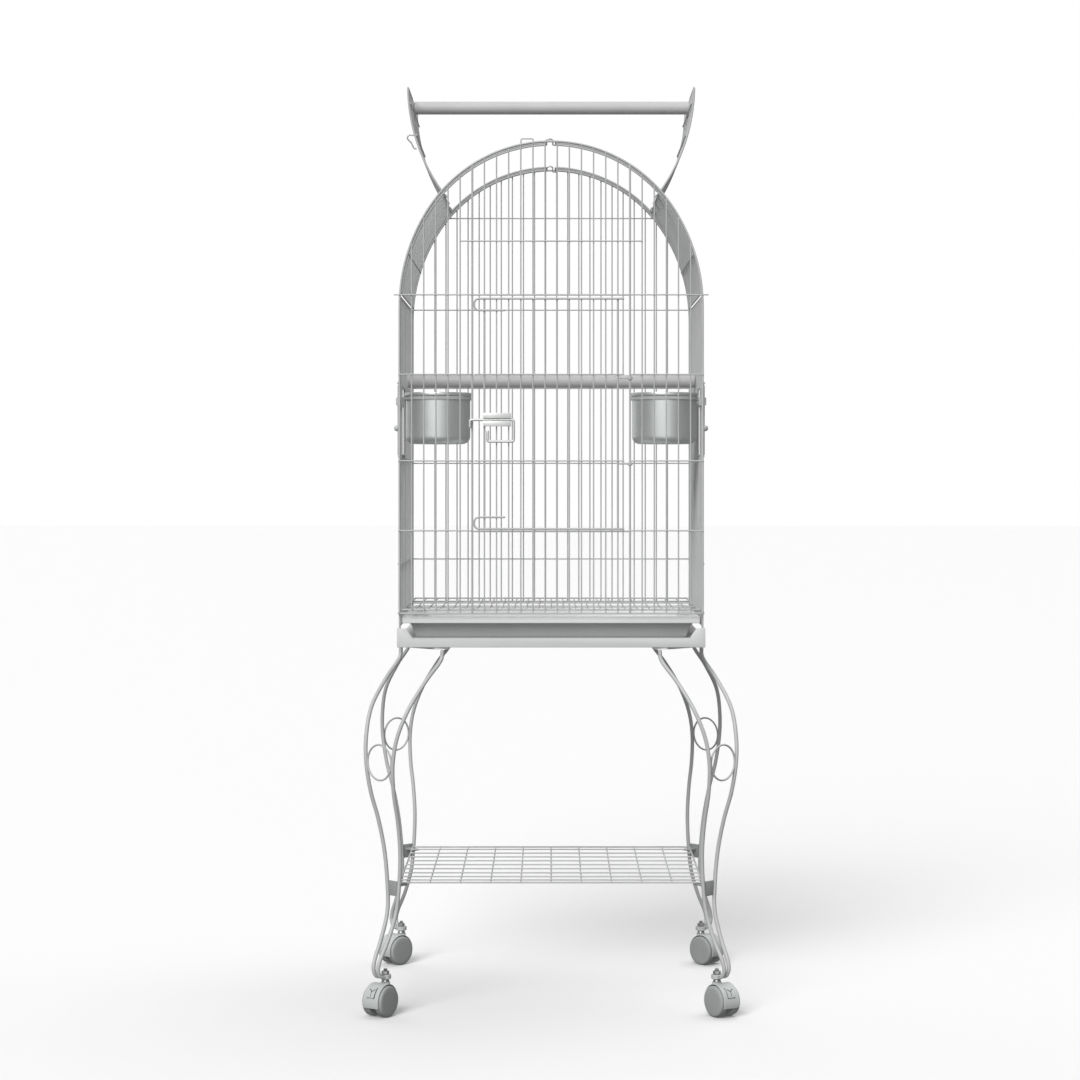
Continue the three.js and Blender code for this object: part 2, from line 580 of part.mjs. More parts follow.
// A folded channel that holds the latch rod against the door's wires.
function latchBracket() {
  const back = -BRACKET_BACK;
  const slot = LATCH_DIAMETER / 2 + 2 * GAP;
  const mouth = LATCH_DIAMETER / 2 - GAP;
  const low = LATCH_HEIGHT - BRACKET.height / 2;
  const high = LATCH_HEIGHT + BRACKET.height / 2;
  const body = block(
    new THREE.Vector3(BRACKET_LEFT, back - BRACKET.depth, low),
    new THREE.Vector3(BRACKET_LEFT + BRACKET.width, back, high),
  );
  const slotBack = back - BRACKET.plate;
  const slotFront = -LATCH_OUT - LATCH_DIAMETER / 2 - GAP;
  const past = BRACKET.width;
  const channel = block(
    new THREE.Vector3(BRACKET_LEFT - past, slotFront, LATCH_HEIGHT - slot),
    new THREE.Vector3(BRACKET_LEFT + 2 * past, slotBack, LATCH_HEIGHT + slot),
  );
  const opening = block(
    new THREE.Vector3(BRACKET_LEFT - past, back - 2 * BRACKET.depth, LATCH_HEIGHT - mouth),
    new THREE.Vector3(BRACKET_LEFT + 2 * past, slotBack - GAP, LATCH_HEIGHT + mouth),
  );
  return cutBy(body, [channel, opening]);
}

function latchBolt() {
  const hookX = acrossWidth(DOOR_FIRST) - LATCH_DIAMETER / 2 - 1.3;
  const right = BRACKET_LEFT + BRACKET.width + LATCH_DIAMETER / 2 + 1.8;
  const low = LATCH_HEIGHT - HANDLE.height;
  const course = [
    [hookX, LATCH_HEIGHT - LATCH_HOOK_DROP], [hookX, LATCH_HEIGHT], [right, LATCH_HEIGHT],
    [right, low], [right - HANDLE.width, low], [right - HANDLE.width, low + HANDLE.tail],
  ];
  const points = course.map(([x, z]) => new THREE.Vector3(x, -LATCH_OUT, z));
  return wire(points, FRONT.outward, LATCH_DIAMETER / 2, 8);
}

// ---------- Feeders, in the right side's place ----------
const FEEDER_FRONT = acrossDepth(FEEDER_FIRST_BAY);
const FEEDER_BACK = acrossDepth(FEEDER_FIRST_BAY + FEEDER_BAYS);
const FLAP_HINGE_HEIGHT = SIDE_BAR_HEIGHTS[3];

function feederFlap() {
  const front = FEEDER_FRONT + FLAP_INSET;
  const back = FEEDER_BACK - FLAP_INSET;
  const top = FLAP_HINGE_HEIGHT - FLAP_TOP_DROP;
  const out = RAIL_R + POST_R + 1.3 * GAP;
  const at = (y, z) => place(RIGHT, y, z, out);
  const straight = (from, to, reach) => wire([from, to], X, reach);
  const parts = [
    straight(at(front, FLAP_LOW - RAIL_R), at(front, top + RAIL_R), POST_R),
    straight(at(back, FLAP_LOW - RAIL_R), at(back, top + RAIL_R), POST_R),
    straight(at(front, FLAP_LOW), at(back, FLAP_LOW), RAIL_R),
    straight(at(front, top), at(back, top), RAIL_R),
  ];
  const wires = FEEDER_BAYS - 1;
  for (let i = 1; i <= wires; i++) {
    const y = front + ((back - front) * i) / (wires + 1);
    parts.push(straight(at(y, FLAP_LOW), at(y, top), WIRE_R));
  }
  for (const bay of [1.5, FEEDER_BAYS - 1.5]) {
    const y = FEEDER_FRONT + (bay * CAGE_DEPTH) / SIDE_BAYS;
    const centre = place(RIGHT, y, FLAP_HINGE_HEIGHT, LAYER);
    parts.push(ring(centre, Y, 6, WIRE_R + 2.1, WIRE_R + 0.55, 8));
  }
  const knob = new THREE.SphereGeometry(KNOB_DIAMETER / 2, 8, 5);
  const centre = place(RIGHT, front + 1, KNOB_HEIGHT, out + 2.5);
  parts.push(solidOf(knob.translate(centre.x, centre.y, centre.z)));
  return joined(parts);
}

const CUP_RIM = CUP_DIAMETER / 2 + CUP_RIM_OUT;
const CUP_X = HALF_WIDTH - CUP_RIM - CUP_ROOM;
const CUP_Y = (FEEDER_FRONT + FEEDER_BACK) / 2;
const CUP_SIDES = 16;

function cup() {
  const outer = CUP_DIAMETER / 2;
  const inner = outer - CUP_WALL;
  const corner = (radius, low, bend) =>
    [0.2, 0.75].map((share) => {
      const turn = (share * Math.PI) / 2;
      return [radius - bend + bend * Math.sin(turn), low + bend - bend * Math.cos(turn)];
    });
  const profile = [
    [0, CUP_BOTTOM],
    ...corner(outer, CUP_BOTTOM, CUP_CORNER),
    [outer, CUP_TOP - CUP_RIM_HEIGHT],
    [CUP_RIM, CUP_TOP - CUP_RIM_HEIGHT + 1],
    [CUP_RIM, CUP_TOP],
    [inner, CUP_TOP],
    ...corner(inner, CUP_BOTTOM + CUP_WALL, CUP_CORNER - CUP_WALL).reverse(),
    [0, CUP_BOTTOM + CUP_WALL],
  ];
  const lathe = new THREE.LatheGeometry(profile.map(([r, z]) => new THREE.Vector2(r, z)), CUP_SIDES);
  return solidOf(lathe.rotateX(Math.PI / 2).translate(CUP_X, CUP_Y, 0));
}

// A ring that the cup drops into, on a bar whose ends step out between the side panel's wires.
function cupHolder() {
  const inner = CUP_DIAMETER / 2 + 3 * GAP;
  const height = HOLDER.high - HOLDER.low;
  const level = (HOLDER.high + HOLDER.low) / 2;
  const bay = CAGE_DEPTH / SIDE_BAYS;
  const barX = HALF_WIDTH - POST_R - RAIL_R - GAP - 0.1;
  const ends = [FEEDER_FRONT - bay / 2, FEEDER_BACK + bay / 2];
  const bar = wire(ends.map((y) => new THREE.Vector3(barX, y, level)), X, RAIL_R);
  const blocks = ends.map((y) =>
    block(
      new THREE.Vector3(barX - 1, y - HOLDER_BLOCK.width / 2, HOLDER_BLOCK.low),
      new THREE.Vector3(HALF_WIDTH + HOLDER_BLOCK.out, y + HOLDER_BLOCK.width / 2, HOLDER_BLOCK.high),
    ),
  );
  const middle = new THREE.Vector3(CUP_X, CUP_Y, level);
  const collar = ring(middle, Z, height, inner + HOLDER.wall, inner, CUP_SIDES);
  const well = new THREE.Vector3(CUP_X, CUP_Y, HOLDER.low - height);
  const clear = cylinder(well, well.clone().addScaledVector(Z, 3 * height), inner, CUP_SIDES);
  return joined([bar, ...blocks]).subtract(clear).add(collar);
}

// ---------- Grate, tray and base ----------
function floorGrate() {
  const halfWidth = HALF_WIDTH - POST_R - POST_R - 1;
  const halfDepth = HALF_DEPTH - POST_R - RAIL_R - GAP;
  const at = (x, y, drop = 0) => new THREE.Vector3(x, y, GRATE_HEIGHT - drop);
  const parts = [];
  for (const side of [-1, 1]) {
    const x = side * halfWidth;
    const end = halfDepth + RAIL_R;
    const inner = (side * halfDepth) / 3;
    parts.push(wire([at(x, -end), at(x, end)], Z, POST_R));
    parts.push(wire([at(-halfWidth, side * halfDepth), at(halfWidth, side * halfDepth)], Z, RAIL_R));
    parts.push(wire([at(-halfWidth, inner, LAYER), at(halfWidth, inner, LAYER)], Z, WIRE_R));
  }
  const spaces = Math.round((2 * halfWidth) / WIRE_SPACING);
  for (let k = 1; k < spaces; k++) {
    const x = -halfWidth + (2 * halfWidth * k) / spaces;
    parts.push(wire([at(x, -halfDepth), at(x, halfDepth)], Z, WIRE_R));
  }
  return joined(parts);
}

// A block whose top and bottom are rectangles of different sizes about the Z axis.
function tapered(low, high, bottom, top) {
  const geometry = new THREE.BoxGeometry(1, 1, high - low).translate(0, 0, (high + low) / 2);
  const position = geometry.attributes.position;
  for (let i = 0; i < position.count; i++) {
    const [width, depth] = position.getZ(i) > (low + high) / 2 ? top : bottom;
    position.setXY(i, position.getX(i) * width, position.getY(i) * depth);
  }
  return solidOf(geometry);
}

function tray() {
  const width = CAGE_WIDTH - 2 * TRAY.sideRoom;
  const depth = CAGE_DEPTH - 2 * TRAY.endRoom;
  const size = (inset) => [width - 2 * inset, depth - 2 * inset];
  const { topInset, bottomInset } = TRAY_BODY;
  const rimLow = TRAY.top - TRAY.rim;
  const body = tapered(TRAY.bottom, rimLow + 1, size(bottomInset), size(topInset));
  const rim = tapered(rimLow, TRAY.top, size(0), size(0));
  const floor = TRAY.bottom + TRAY.wall;
  const inside = tapered(floor, TRAY.top + 1, size(bottomInset + TRAY.wall), size(topInset + TRAY.wall));
  return body.add(rim).subtract(inside);
}

// The ears stand just outside the corner posts.
const BASE_PAST = POST_R + EAR.room + EAR.sheet;
const BASE_WIDTH = CAGE_WIDTH + 2 * BASE_PAST;
const BASE_DEPTH = CAGE_DEPTH + 2 * BASE_PAST;

function baseFrame() {
  const centred = (width, depth, low, high) => tapered(low, high, [width, depth], [width, depth]);
  const { low, high, flange, sheet } = BASE;
  const width = BASE_WIDTH;
  const depth = BASE_DEPTH;
  const body = centred(width, depth, low, high);
  const pocket = centred(width - 2 * sheet, depth - 2 * sheet, low - 1, high - sheet);
  const opening = centred(width - 2 * flange, depth - 2 * flange, low - 1, high + 1);
  const outline = [
    [0, low + 1], [0, EAR.height], [-EAR.width, EAR.height],
    [-EAR.foot, EAR.footHeight], [-EAR.foot, low + 1],
  ];
  const front = plate(outline.map(([x, z]) => [width / 2 + x, z]), -depth / 2, -depth / 2 + EAR.sheet);
  const alongSide = outline.map(([x, z]) => [depth / 2 + x, z]);
  const side = plate(alongSide, -width / 2, -width / 2 + EAR.sheet).rotate([0, 0, 90]);
  const right = [front, mirrorY(front), side, mirrorY(side)];
  return joined([cutBy(body, [pocket, opening]), ...right, ...right.map(mirrorX)]);
}

// ---------- Legs, clamps and shelf ----------
const CORNER = new THREE.Vector2(CAGE_WIDTH / 2 + 2.5, CAGE_DEPTH / 2 + 2.5);
const DIAGONAL = Math.SQRT1_2;
const LEG_SIDES = 5;
const LEG_TURN = (2 * Math.PI) / LEG_SIDES;
const LEG_R = (LEG_ROD_DIAMETER / 2) * Math.sqrt(LEG_TURN / Math.sin(LEG_TURN)); // same area as a round rod

// A point by a corner, from its distance out along the diagonal and its place across it.
const cornerPoint = (out, across, height) =>
  new THREE.Vector3(CORNER.x + (out + across) * DIAGONAL, CORNER.y + (out - across) * DIAGONAL, height);

// A block whose sides run along and across the corner's diagonal.
function cornerBlock(inner, outer, halfWidth, low, high) {
  const made = block(new THREE.Vector3(inner, -halfWidth, low), new THREE.Vector3(outer, halfWidth, high));
  return made.rotate([0, 0, 45]).translate([CORNER.x, CORNER.y, 0]);
}

function leg() {
  const parts = [-1, 1].map((side) => {
    const points = LEG_COURSE.map(([z, out, spread]) => cornerPoint(out, side * spread, z));
    return rod(new THREE.CatmullRomCurve3(points), LEG_R, LEG_SIDES, LEG_STEPS);
  });
  const top = BASE.low - GAP;
  const { thickness, reach, inner, outer } = LEG_PLATE;
  const whole = cornerBlock(inner, outer, reach, top - thickness, top);
  const under = block(new THREE.Vector3(0, 0, 0), new THREE.Vector3(BASE_WIDTH / 2, BASE_DEPTH / 2, top + 1));
  const turns = anglesBetween(0, 2 * Math.PI, 14);
  const { out, radius, height } = LEG_RING;
  const circle = turns.map((turn) =>
    cornerPoint(out, radius * Math.cos(turn), height + radius * Math.sin(turn)),
  );
  const across = new THREE.Vector3(DIAGONAL, DIAGONAL, 0);
  const halves = [circle.slice(0, 8), circle.slice(7)];
  const eye = (rise) => cornerPoint(STEM_OUT, 0, LEG_EYE.level + rise);
  const half = LEG_EYE.height / 2;
  const bore = cylinder(eye(-2 * half), eye(2 * half), STEM_RADIUS + 2 * GAP, 8);
  return joined([
    ...parts,
    whole.intersect(under),
    ...halves.map((arc) => wire(arc, across, squareReach(LEG_RING.wire))),
    cylinder(eye(-half), eye(half), LEG_EYE.radius, 10),
  ]).subtract(bore);
}

// A plate that narrows downwards between the rods, with an arm under the shelf's corner.
function shelfClamp() {
  const { out, thickness, low, high, lowWidth, highWidth } = CLAMP;
  const upright = tapered(low, high, [thickness, lowWidth], [thickness, highWidth]);
  const turned = upright.translate([out + thickness / 2, 0, 0]).rotate([0, 0, 45]);
  const face = turned.translate([CORNER.x, CORNER.y, 0]);
  const { length, width, top } = CLAMP_ARM;
  const arm = cornerBlock(out - length, out + 1, width / 2, top - thickness, top);
  return face.add(arm);
}

function shelf() {
  const halfWidth = SHELF_WIDTH / 2;
  const halfDepth = SHELF_DEPTH / 2;
  const at = (x, y, rise = 0) => new THREE.Vector3(x, y, SHELF_HEIGHT + rise);
  const parts = [];
  for (const side of [-1, 1]) {
    const x = side * halfWidth;
    parts.push(wire([at(x, -halfDepth - RAIL_R), at(x, halfDepth + RAIL_R)], Z, POST_R));
    parts.push(wire([at(-halfWidth, side * halfDepth), at(halfWidth, side * halfDepth)], Z, RAIL_R));
  }
  for (let k = 1; k < SHELF_CROSS_BAYS; k++) {
    const x = -halfWidth + (SHELF_WIDTH * k) / SHELF_CROSS_BAYS;
    const end = halfDepth + SHELF_OVERHANG;
    parts.push(wire([at(x, -end), at(x, end)], Z, WIRE_R));
  }
  for (const y of SHELF_LONG_WIRES) {
    parts.push(wire([at(-halfWidth, y, LAYER), at(halfWidth, y, LAYER)], Z, WIRE_R));
  }
  return joined(parts);
}

// ---------- Casters, about a swivel axis at the origin; the axle runs along X ----------
function casterStem() {
  const at = (z) => new THREE.Vector3(0, 0, z);
  const neck = cylinder(at(BOSS_HIGH + GAP), at(NECK_HIGH), NECK.radius, 10);
  return neck.add(cylinder(at(BOSS_LOW + 4), at(STEM_TOP), STEM_RADIUS, 8));
}

function casterNut() {
  const centre = new THREE.Vector3(0, 0, (NUT.low + NUT.high) / 2);
  return ring(centre, Z, NUT.high - NUT.low, NUT.radius, STEM_RADIUS + 2 * GAP, 6);
}

const WHEEL_CORNER = WHEEL_RADIUS / Math.cos(Math.PI / WHEEL_SIDES);
const HOOD_INNER = WHEEL_CORNER + HOOD.room;
const HOOD_OUTER = HOOD_INNER + HOOD.wall;
const NECK_HIGH = LEG_EYE.level - LEG_EYE.height / 2 - GAP; // the leg's eye rests on the neck
const BOSS_HIGH = NECK_HIGH - NECK.length - GAP;
const AXLE_HEIGHT = BOSS_HIGH - HOOD_OUTER;
const BOSS_LOW = BOSS_HIGH - BOSS.height;

// The outline of a ring sector about the axle, in the plane across it.
function sector(inner, outer, start, sweep, steps) {
  const arc = (radius) =>
    anglesBetween(start, start + sweep, steps).map((turn) => [
      -TRAIL + radius * Math.cos(turn),
      AXLE_HEIGHT + radius * Math.sin(turn),
    ]);
  return [...arc(outer), ...arc(inner).reverse()];
}

// An outline of [y, z] points thickened along X, the same each side of the middle.
const acrossAxle = (points, halfWidth) => plate(points, -halfWidth, halfWidth).rotate([0, 0, 90]);

function casterHood(braked) {
  const arc = (inner, outer) => sector(inner, outer, HOOD_START, HOOD_SWEEP, HOOD.steps);
  const shell = acrossAxle(arc(HOOD_INNER, HOOD_OUTER), HOOD.halfWidth);
  const web = acrossAxle(arc(AXLE_RADIUS + 1, HOOD_INNER + 0.6), HOOD.web);
  const room = acrossAxle(arc(AXLE_RADIUS, HOOD_INNER + 0.6), HOOD.halfWidth);
  const at = (z) => new THREE.Vector3(0, 0, z);
  const boss = cylinder(at(BOSS_LOW), at(BOSS_HIGH), BOSS.radius, 10).subtract(room);
  const bore = cylinder(at(BOSS_LOW + 3), at(BOSS_HIGH + 1), STEM_RADIUS + 2 * GAP, 8);
  const cuts = [bore];
  if (braked) {
    const sweep = BRAKE_SWEEP + 2 * BRAKE.room;
    const slot = sector(HOOD_INNER - 0.1, HOOD_OUTER + BRAKE.out, BRAKE_START - BRAKE.room, sweep, 2);
    cuts.push(acrossAxle(slot, BRAKE.halfWidth + 2 * GAP));
  }
  return cutBy(joined([shell, web, boss]), cuts);
}

function wheelPair() {
  const at = (x) => new THREE.Vector3(x, -TRAIL, AXLE_HEIGHT);
  const flat = Math.PI / WHEEL_SIDES;
  const discs = [-1, 1].map((side) =>
    cylinder(at(side * WHEEL_INNER), at(side * WHEEL_OUTER), WHEEL_CORNER, WHEEL_SIDES, flat),
  );
  return joined([...discs, cylinder(at(-WHEEL_INNER - 1), at(WHEEL_INNER + 1), AXLE_RADIUS, 8)]);
}

function brakeLever() {
  const outline = sector(HOOD_INNER + 0.5, HOOD_OUTER + BRAKE.out, BRAKE_START, BRAKE_SWEEP, 2);
  return acrossAxle(outline, BRAKE.halfWidth);
}

// ---------- Materials ----------
const surface = (color, roughness, metalness) =>
  new THREE.MeshStandardMaterial({ color, roughness, metalness });
const coated = surface(0xb9bbbb, 0.45, 0.3);
const sheetMetal = surface(0xcfd0d0, 0.4, 0.2);
const steel = surface(0xa9b0ae, 0.25, 0.9);
const zinc = surface(0xbfc1c0, 0.3, 0.8);
const plastic = surface(0xa4a8a7, 0.55, 0);
const perchGrey = surface(0xd6d6d6, 0.5, 0);
const trayGrey = surface(0x9a9b9b, 0.5, 0);

// ---------- Assembly ----------
const cage = new THREE.Group();

function add(name, solid, material) {
  const mesh = new THREE.Mesh(geometryOf(solid), material);
  mesh.name = name;
  cage.add(mesh);
}

// A pair of mirrored pieces, made in the right side's place.
function addPair(name, solid, material) {
  add("right_" + name, solid, material);
  add("left_" + name, mirrorX(solid), material);
}

add("base_frame", baseFrame(), sheetMetal);
add("tray", tray(), trayGrey);
add("floor_grate", floorGrate(), coated);
add("front_panel", frontPanel(), coated);
add("back_panel", backPanel(), coated);
addPair("side_panel", sidePanel(), coated);
addPair("roof_panel", roofPanel(), coated);
add("front_right_roof_strip", roofStrip(), coated);
add("front_left_roof_strip", keeperStrip(), coated);
add("back_right_roof_strip", mirrorY(roofStrip()), coated);
add("back_left_roof_strip", mirrorY(mirrorX(roofStrip())), coated);
addPair("roof_door", roofDoor(), coated);
add("roof_hook", roofHook(), zinc);
add("front_apex_clip", apexClip(), zinc);
add("back_apex_clip", mirrorY(apexClip()), zinc);
add("top_perch", perch(TOP_PERCH_LENGTH, TOP_PERCH_HEIGHT), perchGrey);
add("inner_perch", perch(2 * (HALF_WIDTH - WIRE_R - 2 * GAP), INNER_PERCH_HEIGHT), perchGrey);
add("front_door", frontDoor(), coated);
add("latch_bracket", latchBracket(), zinc);
add("latch_bolt", latchBolt(), zinc);
addPair("feeder_flap", feederFlap(), coated);
addPair("cup", cup(), steel);
addPair("cup_holder", cupHolder(), coated);
add("shelf", shelf(), coated);

const STEM = cornerPoint(STEM_OUT, 0, 0);
const brakedHood = casterHood(true);
const plainHood = casterHood(false);
const pair = wheelPair();
for (const end of ["front", "back"]) {
  const isFront = end === "front";
  const toEnd = (solid) => (isFront ? mirrorY(solid) : solid);
  const turn = THREE.MathUtils.radToDeg(isFront ? FRONT_CASTER_TURN : BACK_CASTER_TURN);
  const stand = (solid) => solid.rotate([0, 0, turn]).translate([STEM.x, isFront ? -STEM.y : STEM.y, 0]);
  for (const side of ["left", "right"]) {
    const toSide = (solid) => (side === "left" ? mirrorX(solid) : solid);
    const name = end + "_" + side + "_";
    add(name + "leg", toSide(toEnd(leg())), coated);
    add(name + "shelf_clamp", toSide(toEnd(shelfClamp())), sheetMetal);
    add(name + "stem", toSide(stand(casterStem())), zinc);
    add(name + "nut", toSide(stand(casterNut())), zinc);
    add(name + "hood", toSide(stand(isFront ? brakedHood : plainHood)), plastic);
    add(name + "wheels", toSide(stand(pair)), plastic);
    if (isFront) add(name + "brake", toSide(stand(brakeLever())), plastic);
  }
}

// The origin is on the floor, under the middle of the whole object's box.
const box = new THREE.Box3().setFromObject(cage);
const middle = box.getCenter(new THREE.Vector3());
cage.position.set(-middle.x, -middle.y, -box.min.z);

export default cage;
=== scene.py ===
# Looks for the bird cage on its stand. Lengths are in millimetres until place() turns them to metres.
import math

import bmesh
import bpy
import numpy as np
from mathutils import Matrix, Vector


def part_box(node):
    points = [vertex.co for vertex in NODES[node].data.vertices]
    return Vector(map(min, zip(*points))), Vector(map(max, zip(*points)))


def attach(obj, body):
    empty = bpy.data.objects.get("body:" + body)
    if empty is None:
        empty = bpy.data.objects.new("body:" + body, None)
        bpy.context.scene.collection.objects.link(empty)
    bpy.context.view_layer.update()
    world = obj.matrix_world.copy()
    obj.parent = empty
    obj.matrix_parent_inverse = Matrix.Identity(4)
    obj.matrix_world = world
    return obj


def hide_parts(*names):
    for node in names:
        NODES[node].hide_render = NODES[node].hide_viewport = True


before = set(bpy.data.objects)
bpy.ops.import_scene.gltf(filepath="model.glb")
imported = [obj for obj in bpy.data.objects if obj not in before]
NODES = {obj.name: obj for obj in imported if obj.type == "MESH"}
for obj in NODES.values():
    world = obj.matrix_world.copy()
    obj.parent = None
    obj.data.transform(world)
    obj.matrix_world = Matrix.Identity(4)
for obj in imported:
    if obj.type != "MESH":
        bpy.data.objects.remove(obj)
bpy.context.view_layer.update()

BASE_LOW = 598.6  # the base frame's underside, which ties these heights to the row frame
MIDDLE_Y = sum(corner.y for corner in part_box("base_frame")) / 2  # the cage's middle, in the row frame
RISE_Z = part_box("base_frame")[0].z - BASE_LOW / 1000

# ---------- Sizes ----------
WIRE, RAIL, POST = 1.15, 1.4, 1.7  # radii
SINK = 0.2  # how far two welded wires sink into each other
LAYER = 2 * WIRE - SINK  # an outer bar's distance from the uprights' plane
HEAVY_LAYER = WIRE + POST - SINK
HALF_WIDTH, HALF_DEPTH = 247.5, 197.5
BAYS, SIDE_BAYS = 25, 20
PITCH, SIDE_PITCH = 2 * HALF_WIDTH / BAYS, 2 * HALF_DEPTH / SIDE_BAYS
CORNER_INSET = 8
FRONT_BOTTOM, SIDE_BOTTOM, WALL_TOP = 654, 634, 1172
POST_FOOT = 613.8
FRONT_BARS, FRONT_TOP_BAR, FRONT_TOP_REACH = (789, 903, 1044), 1174, 257
FRONT_SHORT_BAR, FRONT_SHORT_REACH = 1261.5, 148.5
BACK_BARS, BACK_HIGH_BAR, TRAY_STOP = (730, 901, 1035, 1175), 1339, 644
SIDE_BARS, SIDE_BAR_REACH = (654, 734.5, 910), 196.5
FEEDER_FIRST, FEEDER_LAST, FEEDER_LOW, FEEDER_HIGH = 2, 7, 913, 1024
FLAP_HINGE_Z, FLAP_AXIS = 1030.5, 3.17  # the flap's hinge wire, and its distance out from the side's plane
FLAP_LOW, FLAP_TOP, FLAP_OUT = 914, 1026.5, 4.275
SPRING, SHIFT, RISE = 1154.5, 49.3, 32
HAUNCH_R = HALF_WIDTH + SHIFT
CROWN_R = HAUNCH_R - math.hypot(SHIFT, RISE)
CROWN_Z = SPRING + RISE
HAUNCH_END = math.atan2(RISE, SHIFT)
DOOR_FIRST, DOOR_LAST = 6, 19
DOOR_SILL, DOOR_HEAD, DOOR_LOW, DOOR_TOP = 788, 1174, 792, 1167.5
ROOF_EDGE, STRIP_SPACING, MIDDLE_REACH, MIDDLE_BAYS = 193, 20, 133, 13
ROOF_BOTTOM, ROOF_HINGE_X = 1178, 177.5
DOOR_R, DOOR_CHORD, DOOR_TILT, DOOR_HALF = 300, 186, math.radians(18.6), 140
PERCH_R, NOTCH = 11, 14.33
TOP_PERCH_HALF, INNER_PERCH_HALF, INNER_PERCH_Z = 240, 245.4, 1040
LATCH_Z, LATCH_R = 970, 2.25
CUP_R, CUP_RIM_R, CUP_LOW, CUP_HIGH, CUP_WALL, CUP_CORNER = 53.75, 55.85, 931.5, 1016.8, 1.2, 13
CUP_X, CUP_Y = HALF_WIDTH - CUP_RIM_R - 3.1, -HALF_DEPTH + 4.5 * SIDE_PITCH
BLOCK_BAYS = (1.5, 7.5)  # the cup holder's blocks stand between these wires
GRATE_Z, SHELF_Z = 660, 215
SHELF_HALF_X, SHELF_HALF_Y, SHELF_OVERHANG = 247, 198, 4
SHELF_WIRES = (-184, -150, -110, -66, -22, 22, 66, 110, 154)
CORNER = (HALF_WIDTH + 2.5, HALF_DEPTH + 2.5)
LEG_COURSE = [
    (595, -52, 51), (580, -50, 50.5), (545, -17, 48.5), (500, 18, 45), (455, 35.5, 37.6),
    (414, 40, 32.8), (365, 34, 28.4), (320, 21.7, 24), (270, 12.5, 19.5), (215, 10, 14.5),
    (170, 13, 10.7), (125, 29, 8.5), (95, 44, 6.5), (80, 47.5, 5.6), (69, 43, 5.2), (66, 34, 5.2),
]
LEG_R = 3.25
STEM_OUT = 27
AXLE_Z, WHEEL_R, TRAIL = 29.5, 25, 14
CASTER_TURN = {"front": math.radians(32.3), "back": math.radians(44.2)}


# ---------- Mesh building ----------
def unit(v):
    return v / max(np.linalg.norm(v), 1e-12)


def array(points):
    return np.array(points, float).reshape(-1, 3)


class Build:
    """Vertices and faces of one piece, in millimetres."""

    def __init__(self):
        self.verts, self.faces, self.count = [], [], 0

    def add(self, verts, faces):
        self.verts.append(array(verts))
        self.faces += [[i + self.count for i in face] for face in faces]
        self.count += len(verts)
        return self

    def merge(self, other):
        return self.add(np.concatenate(other.verts), other.faces)

    def moved(self, change):
        """A copy with every point passed through change; the faces turn round if it mirrors."""
        made = Build()
        verts = change(np.concatenate(self.verts).copy())
        probe = change(np.array([[0.0, 0, 0], [1, 0, 0], [0, 1, 0], [0, 0, 1]]))
        mirrors = np.linalg.det(probe[1:] - probe[0]) < 0
        faces = [face[::-1] if mirrors else face for face in self.faces]
        return made.add(verts, faces)


def mirror_x(points):
    return points * np.array([-1, 1, 1])


def mirror_y(points):
    return points * np.array([1, -1, 1])


def rings_to_faces(rings, sides, closed=False):
    faces = []
    for i in range(rings if closed else rings - 1):
        a, b = i * sides, ((i + 1) % rings) * sides
        for k in range(sides):
            n = (k + 1) % sides
            faces.append([a + k, a + n, b + n, b + k])
    if not closed:
        faces.append(list(range(sides))[::-1])
        faces.append([(rings - 1) * sides + k for k in range(sides)])
    return faces


ROUND_END = ((0, 0.45), (0.3, 0.85), (0.9, 1), (2.4, 1))  # distance in radii, share of the radius


def sweep(path, radius, sides=8, closed=False):
    """A round wire along a path, with rounded ends."""
    path = array(path)
    shares = np.ones(len(path))
    if not closed:
        length = np.linalg.norm(np.diff(path, axis=0), axis=1).sum()
        reach = min(1.0, length / (5.2 * radius))
        head = [path[0] + unit(path[1] - path[0]) * d * radius * reach for d, _ in ROUND_END]
        tail = [path[-1] + unit(path[-2] - path[-1]) * d * radius * reach for d, _ in ROUND_END]
        inner = [s for _, s in ROUND_END]
        shares = np.array(inner + [1.0] * (len(path) - 2) + inner[::-1])
        path = np.concatenate([head, path[1:-1], tail[::-1]])
    count = len(path)
    if closed:
        tangents = np.array([unit(path[(i + 1) % count] - path[i - 1]) for i in range(count)])
    else:
        tangents = np.array(
            [unit(path[min(i + 1, count - 1)] - path[max(i - 1, 0)]) for i in range(count)]
        )
    start = np.array([0.0, 0, 1]) if abs(tangents[0][2]) < 0.9 else np.array([0.0, 1, 0])
    side = unit(np.cross(start, tangents[0]))
    verts = []
    turns = np.arange(sides) * 2 * math.pi / sides
    for point, tangent, share in zip(path, tangents, shares):
        side = unit(side - tangent * np.dot(side, tangent))
        up = np.cross(tangent, side)
        for turn in turns:
            verts.append(point + radius * share * (side * math.cos(turn) + up * math.sin(turn)))
    return Build().add(verts, rings_to_faces(count, sides, closed))


def bent(points, radius, steps=5):
    """The points with each inner corner rounded to a bend of that radius."""
    points = array(points)
    made = [points[0]]
    for before, corner, after in zip(points, points[1:], points[2:]):
        to_before, to_after = unit(before - corner), unit(after - corner)
        half = math.acos(max(-1, min(1, float(np.dot(to_before, to_after))))) / 2
        reach = min(radius / math.tan(half), 0.49 * np.linalg.norm(before - corner),
                    0.49 * np.linalg.norm(after - corner))
        a, b = corner + to_before * reach, corner + to_after * reach
        for i in range(steps + 1):
            t = i / steps
            made.append((1 - t) ** 2 * a + 2 * t * (1 - t) * corner + t * t * b)
    made.append(points[-1])
    return made


